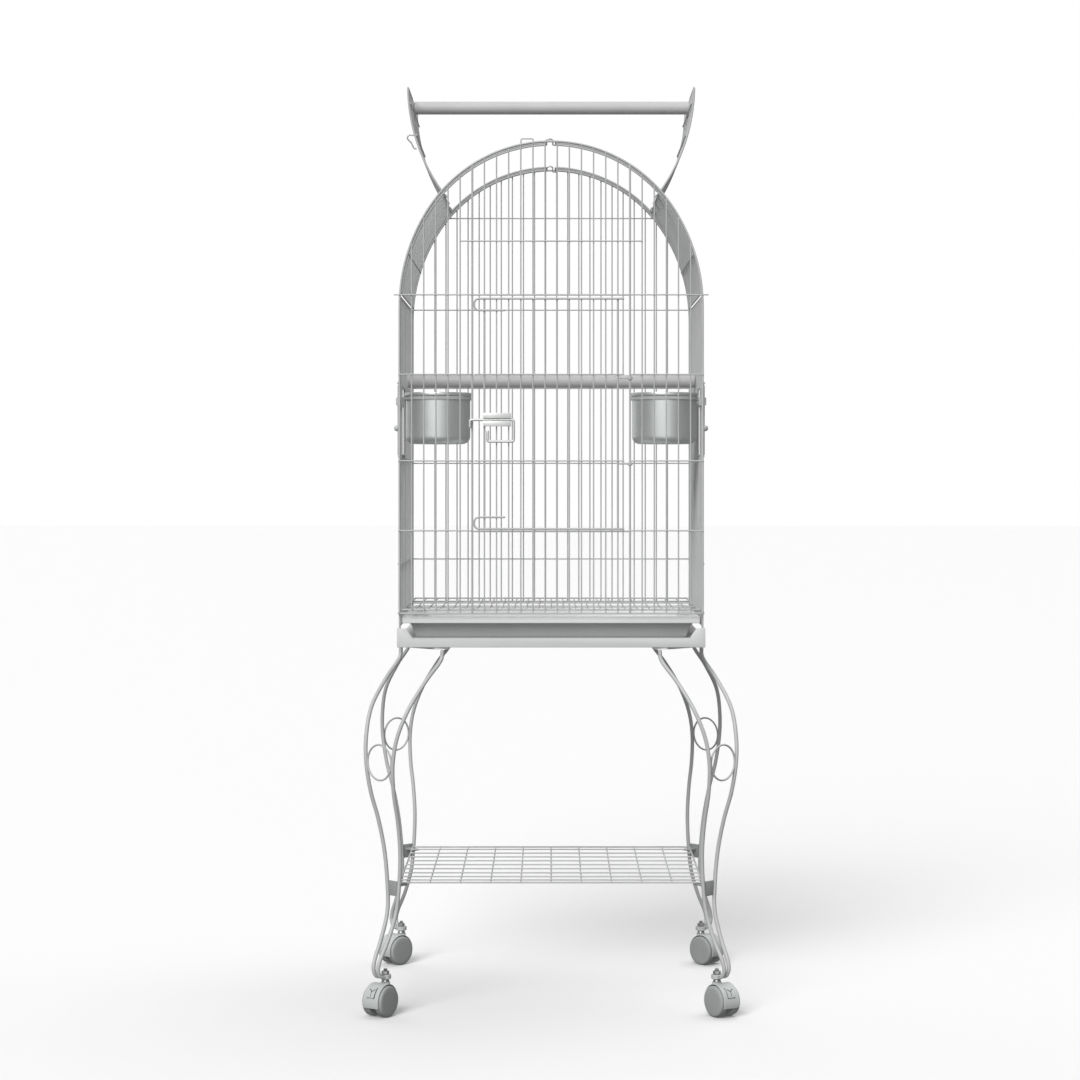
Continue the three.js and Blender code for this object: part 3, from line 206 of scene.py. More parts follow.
def lathe(profile, centre, axis=(0, 0, 1), sides=48):
    """A closed profile of (radius, height) points turned about an axis."""
    axis = unit(np.array(axis, float))
    side = unit(np.cross(axis, (0, 0, 1) if abs(axis[2]) < 0.9 else (1, 0, 0)))
    up = np.cross(axis, side)
    verts, faces = [], []
    count = len(profile)
    for k in range(sides):
        turn = 2 * math.pi * k / sides
        ray = side * math.cos(turn) + up * math.sin(turn)
        verts += [np.array(centre) + ray * max(r, 0.01) + axis * h for r, h in profile]
    for k in range(sides):
        a, b = k * count, ((k + 1) % sides) * count
        for i in range(count):
            j = (i + 1) % count
            faces.append([a + i, b + i, b + j, a + j])
    return Build().add(verts, faces)


def torus(centre, axis, major, minor, sides=28, section=10):
    turns = [2 * math.pi * i / section for i in range(section)]
    profile = [(major + minor * math.cos(t), minor * math.sin(t)) for t in turns]
    return lathe(profile, centre, axis, sides)


def sleeve(centre, axis, inner, outer, length, sides=24):
    """A short tube with rounded edges."""
    h, e = length / 2, min(0.5, (outer - inner) * 0.3)
    profile = [(inner, -h + e), (inner + e, -h), (outer - e, -h), (outer, -h + e),
               (outer, h - e), (outer - e, h), (inner + e, h), (inner, h - e)]
    return lathe(profile, centre, axis, sides)


def prism(outline, ends):
    """An outline of 3-D points carried from one offset to another."""
    low, high = np.array(ends[0], float), np.array(ends[1], float)
    outline = array(outline)
    count = len(outline)
    verts = np.concatenate([outline + low, outline + high])
    faces = [list(range(count))[::-1], list(range(count, 2 * count))]
    faces += [[i, (i + 1) % count, count + (i + 1) % count, count + i] for i in range(count)]
    return Build().add(verts, faces)


# ---------- Materials ----------
def material(name, color, roughness, metallic=0.0):
    made = bpy.data.materials.new(name)
    made.use_nodes = True
    shader = made.node_tree.nodes["Principled BSDF"]
    shader.inputs["Metallic"].default_value = metallic
    shader.inputs["Base Color"].default_value = (*color, 1)
    shader.inputs["Roughness"].default_value = roughness
    return made, made.node_tree, shader


def noise(tree, scale, stretch=(1, 1, 1), detail=3.0):
    coords = tree.nodes.new("ShaderNodeTexCoord")
    mapping = tree.nodes.new("ShaderNodeMapping")
    mapping.inputs["Scale"].default_value = stretch
    texture = tree.nodes.new("ShaderNodeTexNoise")
    texture.inputs["Scale"].default_value = scale
    texture.inputs["Detail"].default_value = detail
    tree.links.new(coords.outputs["Object"], mapping.inputs["Vector"])
    tree.links.new(mapping.outputs["Vector"], texture.inputs["Vector"])
    return texture.outputs["Fac"]


def spread(tree, value, low, high):
    node = tree.nodes.new("ShaderNodeMapRange")
    node.inputs["From Min"].default_value = 0.3
    node.inputs["From Max"].default_value = 0.7
    node.inputs["To Min"].default_value = low
    node.inputs["To Max"].default_value = high
    tree.links.new(value, node.inputs["Value"])
    return node.outputs["Result"]


def surface(name, color, roughness, metallic=0.0, grain=900, grain_stretch=(1, 1, 1),
            grain_depth=0.00005, mottle=18, mottle_share=0.05, roughness_share=0.2):
    """A finish with mottled colour, uneven gloss and a fine grain."""
    made, tree, shader = material(name, color, roughness, metallic)
    patches = noise(tree, mottle)
    fine = noise(tree, grain, grain_stretch, 4.0)
    mix = tree.nodes.new("ShaderNodeMix")
    mix.data_type = "RGBA"
    mix.inputs["A"].default_value = (*[c * (1 - mottle_share) for c in color], 1)
    mix.inputs["B"].default_value = (*[min(1, c * (1 + mottle_share)) for c in color], 1)
    tree.links.new(spread(tree, patches, 0, 1), mix.inputs["Factor"])
    tree.links.new(mix.outputs["Result"], shader.inputs["Base Color"])
    gloss = spread(tree, fine, roughness * (1 - roughness_share), roughness * (1 + roughness_share))
    tree.links.new(gloss, shader.inputs["Roughness"])
    bump = tree.nodes.new("ShaderNodeBump")
    bump.inputs["Strength"].default_value = 0.5
    bump.inputs["Distance"].default_value = grain_depth
    tree.links.new(fine, bump.inputs["Height"])
    tree.links.new(bump.outputs["Normal"], shader.inputs["Normal"])
    return made


COAT = surface("powder_coat_wire", (0.48, 0.485, 0.485), 0.42, grain=700, grain_depth=0.00004)
SHEET = surface("powder_coat_sheet", (0.60, 0.605, 0.605), 0.42, grain=800, mottle=9,
                mottle_share=0.03)
CLAMP = surface("clamp_sheet", (0.31, 0.325, 0.32), 0.45, grain=800, mottle=20)
TRAY = surface("tray_plastic", (0.42, 0.425, 0.425), 0.5, grain=1600, grain_depth=0.00008,
               mottle=7)
TRAY_RIM = surface("tray_rim", (0.72, 0.725, 0.725), 0.5, grain=1600, grain_depth=0.00008,
                   mottle=7)
PERCH = surface("perch_finish", (0.50, 0.50, 0.50), 0.5, grain=500, grain_stretch=(0.02, 1, 1),
                grain_depth=0.0001, mottle=12, mottle_share=0.04)
STEEL = surface("stainless_steel", (0.68, 0.71, 0.695), 0.42, 0.75, grain=1400, roughness_share=0.06,
                grain_depth=0.000004, mottle=9, mottle_share=0.02)
ZINC = surface("zinc_plate", (0.42, 0.43, 0.425), 0.38, 0.85, grain=500, mottle=60, mottle_share=0.09)
LATCH = surface("bright_zinc", (0.68, 0.69, 0.68), 0.45, 0.55, grain=500, mottle=60, mottle_share=0.06)
PLASTIC = surface("caster_plastic", (0.50, 0.52, 0.515), 0.5, grain=1500, grain_depth=0.00008)
WHEEL = surface("wheel_plastic", (0.33, 0.345, 0.34), 0.5, grain=1300, grain_depth=0.0001)
# painted shade: a near-black finish for the wires that stand for the shade in the brake lever's grooves
GROOVE_SHADE = surface("groove_shadow", (0.05, 0.055, 0.055), 0.6, grain=900)


# ---------- Pieces ----------
def place(points):
    return (points + np.array([0, 1000 * MIDDLE_Y, 1000 * RISE_Z])) / 1000


def finish_mesh(obj, angle=40):
    obj.data.polygons.foreach_set("use_smooth", [True] * len(obj.data.polygons))
    obj.data.set_sharp_from_angle(angle=math.radians(angle))
    obj.data.update()


def piece(name, build, finish, slot, body="root", node=None, angle=40):
    mesh = bpy.data.meshes.new(name)
    mesh.from_pydata(place(np.concatenate(build.verts)).tolist(), [], build.faces)
    mesh.validate()
    obj = bpy.data.objects.new(name, mesh)
    bpy.context.scene.collection.objects.link(obj)
    mesh.materials.append(finish)
    finish_mesh(obj, angle)
    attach(obj, body)
    if node:
        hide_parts(node)
    return obj


def softened(name, node, width, finish, body="root", segments=2):
    """A CAD node's own shape with its sharp edges rounded."""
    made = bmesh.new()
    made.from_mesh(NODES[node].data)
    bmesh.ops.remove_doubles(made, verts=made.verts, dist=1e-6)
    bmesh.ops.dissolve_limit(made, angle_limit=math.radians(1), verts=made.verts, edges=made.edges)
    made.normal_update()
    paired = [e for e in made.edges if len(e.link_faces) == 2]
    sharp = [e for e in paired if e.calc_face_angle(0) > math.radians(24)]
    bmesh.ops.bevel(made, geom=sharp, offset=width / 1000, segments=segments, affect="EDGES",
                    profile=0.5, clamp_overlap=True)
    mesh = bpy.data.meshes.new(name)
    made.to_mesh(mesh)
    made.free()
    obj = bpy.data.objects.new(name, mesh)
    bpy.context.scene.collection.objects.link(obj)
    for old in list(mesh.attributes):
        if old.name == "custom_normal":
            mesh.attributes.remove(old)
    mesh.materials.clear()
    mesh.materials.append(finish)
    finish_mesh(obj, 30)
    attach(obj, body)
    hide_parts(node)
    return obj


# ---------- Wire panels ----------
def facing(axis, reach):
    """A panel's points from (across, height, out): axis is the way it faces."""
    def at(across, z, out=0.0):
        flat = reach + out
        places = {"front": (across, -flat, z), "back": (across, flat, z), "right": (flat, across, z)}
        return places[axis]
    return at


FRONT, BACK = facing("front", HALF_DEPTH), facing("back", HALF_DEPTH)
RIGHT = facing("right", HALF_WIDTH)


def arch(angle, out=0.0):
    """The arch's (x, z) at an angle, on the right side."""
    on_crown = angle > HAUNCH_END
    radius = (CROWN_R if on_crown else HAUNCH_R) + out
    centre = (0, CROWN_Z) if on_crown else (-SHIFT, SPRING)
    return centre[0] + radius * math.cos(angle), centre[1] + radius * math.sin(angle)


def arch_height(x):
    side = abs(x)
    if side < CROWN_R * math.cos(HAUNCH_END):
        return CROWN_Z + math.sqrt(CROWN_R**2 - side**2)
    return SPRING + math.sqrt(max(HAUNCH_R**2 - (side + SHIFT) ** 2, 0))


def arched_frame(at, foot):
    angles = np.linspace(0, math.pi / 2, 46)
    right = [at(*arch(a)) for a in angles]
    left = [at(-arch(a)[0], arch(a)[1]) for a in angles[:-1][::-1]]
    return sweep([at(HALF_WIDTH, foot), *right, *left, at(-HALF_WIDTH, foot)], POST, 12)


def bar(at, a, b, z, radius=WIRE, out=0.0, sides=8):
    return sweep([at(a, z, out), at(b, z, out)], radius, sides)


def upright(at, across, low, high, radius=WIRE):
    return sweep([at(across, low), at(across, high)], radius)


def front_panel():
    made = Build().merge(arched_frame(FRONT, FRONT_BOTTOM - RAIL))
    first, last = -HALF_WIDTH + DOOR_FIRST * PITCH, -HALF_WIDTH + DOOR_LAST * PITCH
    for k in range(1, BAYS):
        x = -HALF_WIDTH + k * PITCH
        thick = POST if k in (DOOR_FIRST, DOOR_LAST) else WIRE
        if DOOR_FIRST < k < DOOR_LAST:
            made.merge(upright(FRONT, x, FRONT_BOTTOM, DOOR_SILL))
            made.merge(upright(FRONT, x, DOOR_HEAD, arch_height(x)))
        else:
            made.merge(upright(FRONT, x, FRONT_BOTTOM, arch_height(x), thick))
    made.merge(bar(FRONT, -HALF_WIDTH, HALF_WIDTH, FRONT_BOTTOM, RAIL))
    made.merge(bar(FRONT, first, last, DOOR_SILL, RAIL))
    made.merge(bar(FRONT, first, last, DOOR_HEAD, RAIL))
    for z in (*FRONT_BARS, FRONT_TOP_BAR):
        reach = FRONT_TOP_REACH if z == FRONT_TOP_BAR else HALF_WIDTH + LAYER
        made.merge(bar(FRONT, -reach, first, z, out=LAYER))
        made.merge(bar(FRONT, last, reach, z, out=LAYER))
    return made.merge(bar(FRONT, -FRONT_SHORT_REACH, FRONT_SHORT_REACH, FRONT_SHORT_BAR, out=LAYER))


def back_panel():
    made = Build().merge(arched_frame(BACK, POST_FOOT))
    for k in range(1, BAYS):
        x = -HALF_WIDTH + k * PITCH
        made.merge(upright(BACK, x, FRONT_BOTTOM, arch_height(x)))
    for z in (FRONT_BOTTOM, TRAY_STOP):
        made.merge(bar(BACK, -HALF_WIDTH, HALF_WIDTH, z, RAIL))
    for z in BACK_BARS:
        made.merge(bar(BACK, -HALF_WIDTH - LAYER, HALF_WIDTH + LAYER, z, out=LAYER))
    reach = math.sqrt(CROWN_R**2 - (BACK_HIGH_BAR - CROWN_Z) ** 2) + POST
    return made.merge(bar(BACK, -reach, reach, BACK_HIGH_BAR, out=LAYER))


def side_wire(j):
    """Where the side panel's j-th space begins, along the depth."""
    return -HALF_DEPTH + j * SIDE_PITCH


def side_panel():
    end = HALF_DEPTH - CORNER_INSET
    made = Build()
    for y in (-end, end):
        made.merge(upright(RIGHT, y, POST_FOOT, WALL_TOP + RAIL, POST))
    for j in range(1, SIDE_BAYS):
        y = side_wire(j)
        if FEEDER_FIRST < j < FEEDER_LAST:
            made.merge(upright(RIGHT, y, SIDE_BOTTOM, FEEDER_LOW))
            made.merge(upright(RIGHT, y, FEEDER_HIGH, WALL_TOP))
        else:
            thick = POST if j in (FEEDER_FIRST, FEEDER_LAST) else WIRE
            made.merge(upright(RIGHT, y, SIDE_BOTTOM, WALL_TOP, thick))
    for z in (SIDE_BOTTOM, WALL_TOP):
        made.merge(bar(RIGHT, -end, end, z, RAIL))
    for z in (FEEDER_LOW, FEEDER_HIGH):
        made.merge(bar(RIGHT, side_wire(FEEDER_FIRST), side_wire(FEEDER_LAST), z, RAIL))
    for z in SIDE_BARS:
        made.merge(bar(RIGHT, -SIDE_BAR_REACH, SIDE_BAR_REACH, z, out=LAYER))
    return made.merge(bar(RIGHT, -SIDE_BAR_REACH, SIDE_BAR_REACH, FLAP_HINGE_Z, out=FLAP_AXIS))


# ---------- Roof ----------
ROOF_START = math.asin((ROOF_BOTTOM - SPRING) / HAUNCH_R)
HINGE_ANGLE = math.acos(ROOF_HINGE_X / CROWN_R)
SPLIT_ANGLE = HINGE_ANGLE + 2.05 / CROWN_R
STRIP_INNER = ROOF_EDGE - 2 * STRIP_SPACING
APEX_ANGLE = math.acos((5.5 + 2.2) / CROWN_R)
HINGE_Z = arch(HINGE_ANGLE)[1]


def roof_wire(start, end, y, radius, steps=28):
    path = [arch(a) for a in np.linspace(start, end, steps)]
    return sweep([(x, y, z) for x, z in path], radius, 8 if radius == WIRE else 10)


def along_y(x, z, a, b, radius):
    return sweep([(x, a, z), (x, b, z)], radius, 10)


def strip_wires():
    """The depths and radii of the three wires of a roof panel's edge strip."""
    return [(ROOF_EDGE - i * STRIP_SPACING, WIRE if i == 1 else POST) for i in range(3)]


def roof_panel():
    """The panel's haunch part, from the wall's top to just past the roof door's hinge bar."""
    made = Build()
    for y, radius in strip_wires():
        for side in (-1, 1):
            made.merge(roof_wire(ROOF_START, SPLIT_ANGLE, side * y, radius))
    for j in range(MIDDLE_BAYS + 1):
        y = -MIDDLE_REACH + 2 * MIDDLE_REACH * j / MIDDLE_BAYS
        made.merge(roof_wire(ROOF_START, HINGE_ANGLE, y, WIRE))
    x, z = arch(ROOF_START)
    made.merge(along_y(x, z, -ROOF_EDGE, ROOF_EDGE, RAIL))
    made.merge(along_y(ROOF_HINGE_X, HINGE_Z, -STRIP_INNER, STRIP_INNER, RAIL))
    x, z = arch(ROOF_START + (HINGE_ANGLE - ROOF_START) / 3, -LAYER)
    return made.merge(along_y(x, z, -ROOF_EDGE, ROOF_EDGE, WIRE))


def roof_strip():
    """The three wires beside the roof doors, front right, which run on from the panel's own."""
    made = Build()
    for y, radius in strip_wires():
        made.merge(roof_wire(SPLIT_ANGLE, APEX_ANGLE, -y, radius))
    return made.merge(along_y(*arch(APEX_ANGLE), -ROOF_EDGE, -STRIP_INNER, RAIL))


def keeper():
    top = arch_height(29.2) + 6.5
    corners = [(-29.2, arch_height(29.2)), (-29.2, top), (-49.3, top), (-49.3, arch_height(49.3))]
    return sweep(bent([(x, -ROOF_EDGE, z) for x, z in corners], 3), WIRE, 10)


HALF_TURN = math.asin(DOOR_CHORD / 2 / DOOR_R)
DOOR_RUN = 2 * DOOR_R * HALF_TURN
PERCH_RUN, HOOK_RUN, FOOT_RUN = DOOR_RUN - 27, 0.57 * DOOR_RUN, 7


def door_lean(run):
    return DOOR_TILT + HALF_TURN - run / DOOR_R


def door_point(run, out=0.0):
    lean = door_lean(run)
    start = door_lean(0)
    x = ROOF_HINGE_X + DOOR_R * (math.cos(lean) - math.cos(start)) + out * math.cos(lean)
    z = HINGE_Z + DOOR_R * (math.sin(start) - math.sin(lean)) - out * math.sin(lean)
    return x, z


def roof_door():
    made = Build()
    runs = np.linspace(FOOT_RUN, DOOR_RUN, 20)
    step = (DOOR_HALF - NOTCH) / 7
    tip, foot = door_point(DOOR_RUN), door_point(FOOT_RUN)
    for side in (-1, 1):
        for i in range(8):
            y = side * (NOTCH + i * step)
            path = [(door_point(run)[0], y, door_point(run)[1]) for run in runs]
            made.merge(sweep(path, POST if i in (0, 7) else WIRE, 10 if i in (0, 7) else 8))
        made.merge(along_y(*tip, side * NOTCH, side * DOOR_HALF, RAIL))
    made.merge(along_y(*foot, -DOOR_HALF, DOOR_HALF, RAIL))
    made.merge(along_y(*door_point(PERCH_RUN, -CARRIER), -DOOR_HALF, DOOR_HALF, WIRE))
    made.merge(along_y(*door_point(HOOK_RUN, -CARRIER), -DOOR_HALF, DOOR_HALF, WIRE))
    bay = 2 * MIDDLE_REACH / MIDDLE_BAYS
    for y in (-5 * bay, 0, 5 * bay):
        made.merge(sleeve((ROOF_HINGE_X, y, HINGE_Z), (0, 1, 0), 1.9, 3.9, 7.6))
        arm = [(*door_point(3.4), y), (*foot, y)]
        made.merge(sweep([(x, yy, z) for x, z, yy in arm], RAIL))
    return made


CARRIER = 2.75  # the perch's bar, in from the door's wires


def roof_hook():
    x, z = door_point(HOOK_RUN, -3.17)
    y = -DOOR_HALF + (DOOR_HALF - NOTCH) / 14
    course = [(2.9, 0.5), (14, 2), (17, -4), (10, -11), (5, -21), (1, -21)]
    made = sweep(bent([(x + a, y, z + b) for a, b in course], 3.5), WIRE, 10)
    made.merge(torus((x, y, z), (0, 1, 0), 2.75, 0.75, 20, 8))
    return made.moved(mirror_x)


def apex_clip(side):
    """A bent wire that hooks over the left strip's end and under the right one's."""
    top = CROWN_Z + CROWN_R
    y = side * (ROOF_EDGE - STRIP_SPACING / 2)
    course = [(-7.5, top + 3.9), (-2, top + 6), (3, top + 4), (2.4, top - 4), (9.5, top - 4.4)]
    made = sweep(bent([(x, y, z) for x, z in course], 2.2), 1.3, 10)
    return made.merge(torus((-7.2, y, top + 4.1), (0, 1, 0), 1.1, 0.75, 16, 8))


# ---------- Perches ----------
def perch(half, z):
    e = 1.4
    end = [(0, 0), (PERCH_R - e, 0), (PERCH_R - 0.35 * e, 0.35 * e), (PERCH_R, e), (PERCH_R, 6)]
    profile = [(r, -half + h) for r, h in end] + [(r, half - h) for r, h in end[::-1]]
    return lathe(profile, (0, 0, z), (1, 0, 0), 48)


# ---------- Front door and latch ----------
def front_door():
    made = Build()
    for k in range(DOOR_FIRST + 1, DOOR_LAST):
        x = -HALF_WIDTH + k * PITCH
        edge = k in (DOOR_FIRST + 1, DOOR_LAST - 1)
        made.merge(upright(FRONT, x, 790.2, DOOR_TOP + (2.1 if edge else 1.6), POST if edge else WIRE))
    left = -HALF_WIDTH + DOOR_FIRST * PITCH + 3.13
    right = -HALF_WIDTH + DOOR_LAST * PITCH - 9.3
    for z, drop in ((DOOR_TOP, -19), (DOOR_LOW, 19)):
        course = [(right, z), (left, z), (left, z + drop), (left + 51, z + drop)]
        path = bent([FRONT(x, h, HEAVY_LAYER) for x, h in course], 9.3, 9)
        made.merge(sweep(path, POST, 10))
    for z in (903, 1044):
        made.merge(bar(FRONT, left, right, z, out=LAYER))
    hinge = -HALF_WIDTH + DOOR_LAST * PITCH
    for z in (898, 1038):
        made.merge(sleeve(FRONT(hinge, z), (0, 0, 1), 2.0, 4.1, 4.8))
        made.merge(bar(FRONT, hinge - PITCH, hinge - 3, z))
    return made


BRACKET_LEFT = -HALF_WIDTH + (DOOR_FIRST + 1) * PITCH - 1.7
BRACKET_OUT = HALF_DEPTH + 2.13 + 0.3
LATCH_OUT = BRACKET_OUT + 1.5 + LATCH_R + 0.3


def latch_bolt():
    hook = -HALF_WIDTH + DOOR_FIRST * PITCH - LATCH_R - 1.3
    right = BRACKET_LEFT + 45.5 + LATCH_R + 1.8
    low = LATCH_Z - 35.4
    course = [(hook, LATCH_Z - 14), (hook, LATCH_Z), (right, LATCH_Z), (right, low),
              (right - 42.7, low), (right - 42.7, low + 18)]
    return sweep(bent([(x, -LATCH_OUT, z) for x, z in course], 3.6, 7), LATCH_R, 14)


# ---------- Feeders ----------
def feeder_flap():
    made = Build()
    a, b = side_wire(FEEDER_FIRST) + 5, side_wire(FEEDER_LAST) - 5
    for y in (a, b):
        made.merge(sweep([RIGHT(y, 912.4, FLAP_OUT), RIGHT(y, 1028, FLAP_OUT)], POST, 10))
    for z in (FLAP_LOW, FLAP_TOP):
        made.merge(bar(RIGHT, a, b, z, RAIL, FLAP_OUT))
    for i in range(1, 5):
        y = a + (b - a) * i / 5
        made.merge(sweep([RIGHT(y, FLAP_LOW, FLAP_OUT), RIGHT(y, FLAP_TOP, FLAP_OUT)], WIRE))
    for bay in (3.5, 5.5):
        centre = RIGHT(side_wire(bay), FLAP_HINGE_Z, FLAP_AXIS)
        made.merge(sleeve(centre, (0, 1, 0), 1.5, 3.4, 5.8))
    return made


def flap_knob():
    turns = [math.pi * i / 16 for i in range(17)]
    profile = [(4.9 * math.sin(t), -4.9 * math.cos(t)) for t in turns]
    return lathe(profile, RIGHT(side_wire(FEEDER_FIRST) + 6, 957, FLAP_OUT + 2.5), (1, 0, 0), 32)


def cup():
    def corner(radius, low, bend):
        turns = np.linspace(0, math.pi / 2, 9)
        return [(radius - bend + bend * math.sin(t), low + bend - bend * math.cos(t)) for t in turns]

    inner = CUP_R - CUP_WALL
    rim = CUP_HIGH - 6.9
    roll = [(CUP_R, rim), (CUP_R + 0.9, rim + 0.7), (CUP_RIM_R - 0.2, rim + 1.6),
            (CUP_RIM_R, rim + 2.6), (CUP_RIM_R, CUP_HIGH - 1.2),
            (CUP_RIM_R - 0.4, CUP_HIGH - 0.35), (CUP_RIM_R - 1.2, CUP_HIGH),
            (inner + 1.0, CUP_HIGH), (inner + 0.3, CUP_HIGH - 0.4), (inner, CUP_HIGH - 1.2)]
    profile = [(0, CUP_LOW), *corner(CUP_R, CUP_LOW, CUP_CORNER), *roll]
    profile += corner(inner, CUP_LOW + CUP_WALL, CUP_CORNER - CUP_WALL)[::-1]
    profile.append((0, CUP_LOW + CUP_WALL))
    return lathe(profile, (CUP_X, CUP_Y, 0), sides=72)


def cup_holder():
    inner, outer, low, high = CUP_R + 0.75, CUP_R + 2.2, 1004.4, 1009.7
    profile = [(inner, low + 0.5), (inner + 0.5, low), (outer - 0.5, low), (outer, low + 0.5),
               (outer, high - 0.5), (outer - 0.5, high), (inner + 0.5, high), (inner, high - 0.5)]
    made = lathe(profile, (CUP_X, CUP_Y, 0), sides=72)
    level, bar_x = 1003.95, HALF_WIDTH - 2.13 - 1.755 - 0.4
    ends = [side_wire(j) for j in BLOCK_BAYS]
    near = math.sqrt(outer**2 - (bar_x - CUP_X) ** 2) if outer > bar_x - CUP_X else 2
    made.merge(sweep([(bar_x, ends[0], level), (bar_x, CUP_Y - near, level)], RAIL, 10))
    made.merge(sweep([(bar_x, CUP_Y + near, level), (bar_x, ends[1], level)], RAIL, 10))
    return made


def holder_block(y):
    """A hanger block that steps out between two of the side panel's wires."""
    low, high, half = 994.2, 1007.8, 4.8
    inner_x, outer_x, lip = HALF_WIDTH - 5.2, HALF_WIDTH + 7.3, 2.0
    outline = [(inner_x, low + 1), (inner_x + 1, low), (outer_x - 1, low), (outer_x, low + 1),
               (outer_x, high - 2.5), (outer_x - 0.8, high - 1.2), (outer_x - lip, high),
               (inner_x + 1, high), (inner_x, high - 1)]
    return prism([(x, y, z) for x, z in outline], [(0, -half, 0), (0, half, 0)])


# ---------- Floor, shelf and legs ----------
def flat_wire(a, b, z, radius=WIRE):
    return sweep([(*a, z), (*b, z)], radius, 8)


def floor_grate():
    made = Build()
    half_x, half_y = HALF_WIDTH - 5.26, HALF_DEPTH - 4.19
    for side in (-1, 1):
        x, y = side * half_x, side * half_y
        made.merge(flat_wire((x, -half_y - RAIL), (x, half_y + RAIL), GRATE_Z, POST))
        made.merge(flat_wire((-half_x, y), (half_x, y), GRATE_Z, RAIL))
        made.merge(flat_wire((-half_x, y / 3), (half_x, y / 3), GRATE_Z - LAYER))
    spaces = round(2 * half_x / 19.8)
    for k in range(1, spaces):
        x = -half_x + 2 * half_x * k / spaces
        made.merge(flat_wire((x, -half_y), (x, half_y), GRATE_Z))
    return made


def shelf():
    made = Build()
    half_x, half_y = SHELF_HALF_X, SHELF_HALF_Y
    for side in (-1, 1):
        x = side * half_x
        made.merge(flat_wire((x, -half_y - RAIL), (x, half_y + RAIL), SHELF_Z, POST))
        made.merge(flat_wire((-half_x, side * half_y), (half_x, side * half_y), SHELF_Z, RAIL))
    for k in range(1, 10):
        x = -half_x + 2 * half_x * k / 10
        made.merge(flat_wire((x, -half_y - SHELF_OVERHANG), (x, half_y + SHELF_OVERHANG), SHELF_Z))
    for y in SHELF_WIRES:
        made.merge(flat_wire((-half_x, y), (half_x, y), SHELF_Z + LAYER))
    return made


def corner_point(out, across, z):
    share = math.sqrt(0.5)
    return CORNER[0] + (out + across) * share, CORNER[1] + (out - across) * share, z


def smooth_course(points, steps=150):
    """A centripetal Catmull-Rom curve through the points, which the legs' solids follow too."""
    points = array(points)
    padded = np.concatenate([[2 * points[0] - points[1]], points, [2 * points[-1] - points[-2]]])
    made = []
    spans = len(points) - 1
    for i in range(steps + 1):
        place_along = min(i / steps * spans, spans - 1e-9)
        k = int(place_along)
        t = place_along - k
        p = padded[k:k + 4]
        d = [max(np.linalg.norm(b - a) ** 0.5, 1e-4) for a, b in zip(p, p[1:])]
        m1 = d[1] * ((p[1] - p[0]) / d[0] - (p[2] - p[0]) / (d[0] + d[1]) + (p[2] - p[1]) / d[1])
        m2 = d[1] * ((p[2] - p[1]) / d[1] - (p[3] - p[1]) / (d[1] + d[2]) + (p[3] - p[2]) / d[2])
        c2 = -3 * p[1] + 3 * p[2] - 2 * m1 - m2
        c3 = 2 * p[1] - 2 * p[2] + m1 + m2
        made.append(p[1] + m1 * t + c2 * t * t + c3 * t**3)
    return made


def leg():
    made = Build()
    for side in (-1, 1):
        course = smooth_course([corner_point(out, side * across, z) for z, out, across in LEG_COURSE])
        made.merge(sweep(course, LEG_R, 14))
    across = (math.sqrt(0.5), math.sqrt(0.5), 0)
    made.merge(torus(corner_point(40, 0, 414), across, 28.7, 1.6, 64, 12))
    return made.merge(sleeve(corner_point(STEM_OUT, 0, 66), (0, 0, 1), 3.9, 9.4, 6.8, 32))


def leg_plate():
    """The plate welded across a leg's top, cut to the base frame's corner."""
    corner_x, corner_y = 251.2, 201.2
    span = math.sqrt(2)
    outline = []
    for out in (-61.8, -42.2):
        total = CORNER[0] + CORNER[1] + out * span
        across = 56.8
        near = [corner_point(out, s * across, 0)[:2] for s in (1, -1)]
        for x, y in near:
            x2, y2 = min(x, corner_x), min(y, corner_y)
            outline.append((x2, total - x2) if x2 < x else (total - y2, y2))
    order = [outline[0], outline[1], outline[3], outline[2]]
    return prism([(x, y, 0) for x, y in order], [(0, 0, 595.4), (0, 0, 598.2)])


# ---------- Casters, about the swivel axis; the axle runs along X ----------
def arc_section(inner, outer, start, sweep_angle, steps):
    turns = [math.radians(start + sweep_angle * i / steps) for i in range(steps + 1)]
    outline = [(-TRAIL + outer * math.cos(t), AXLE_Z + outer * math.sin(t)) for t in turns]
    return outline + [(-TRAIL + inner * math.cos(t), AXLE_Z + inner * math.sin(t)) for t in turns[::-1]]


def across_axle(outline, half):
    return prism([(0, y, z) for y, z in outline], [(-half, 0, 0), (half, 0, 0)])


def hood_shell(braked):
    """A curved shell over the twin wheels; the braked one has a slot for its lever."""
    made = Build()
    start, end, steps = -18, 198, 54
    slot_low, slot_high, slot_half = 123.5, 164.5, 7.2
    turns = np.linspace(start, end, steps + 1)
    inner, outer, half, edge = 26.65, 27.75, 15, 0.5

    def strip(a, b, span):
        low, high = a, b
        rings = []
        for turn in span:
            t = math.radians(turn)
            section = [(low, inner + 0.2), (low, outer - edge), (low + edge, outer),
                       (high - edge, outer), (high, outer - edge), (high, inner + 0.2),
                       (high - edge, inner), (low + edge, inner)]
            rings += [(x, -TRAIL + r * math.cos(t), AXLE_Z + r * math.sin(t)) for x, r in section]
        verts = array(rings)
        build = Build().add(verts, rings_to_faces(len(span), 8))
        made.merge(build)

    if not braked:
        strip(-half, half, turns)
        return made
    strip(-half, half, [t for t in turns if t <= slot_low] + [slot_low])
    strip(-half, half, [slot_high] + [t for t in turns if t >= slot_high])
    middle = [slot_low, *[t for t in turns if slot_low < t < slot_high], slot_high]
    strip(-half, -slot_half, middle)
    strip(slot_half, half, middle)
    return made


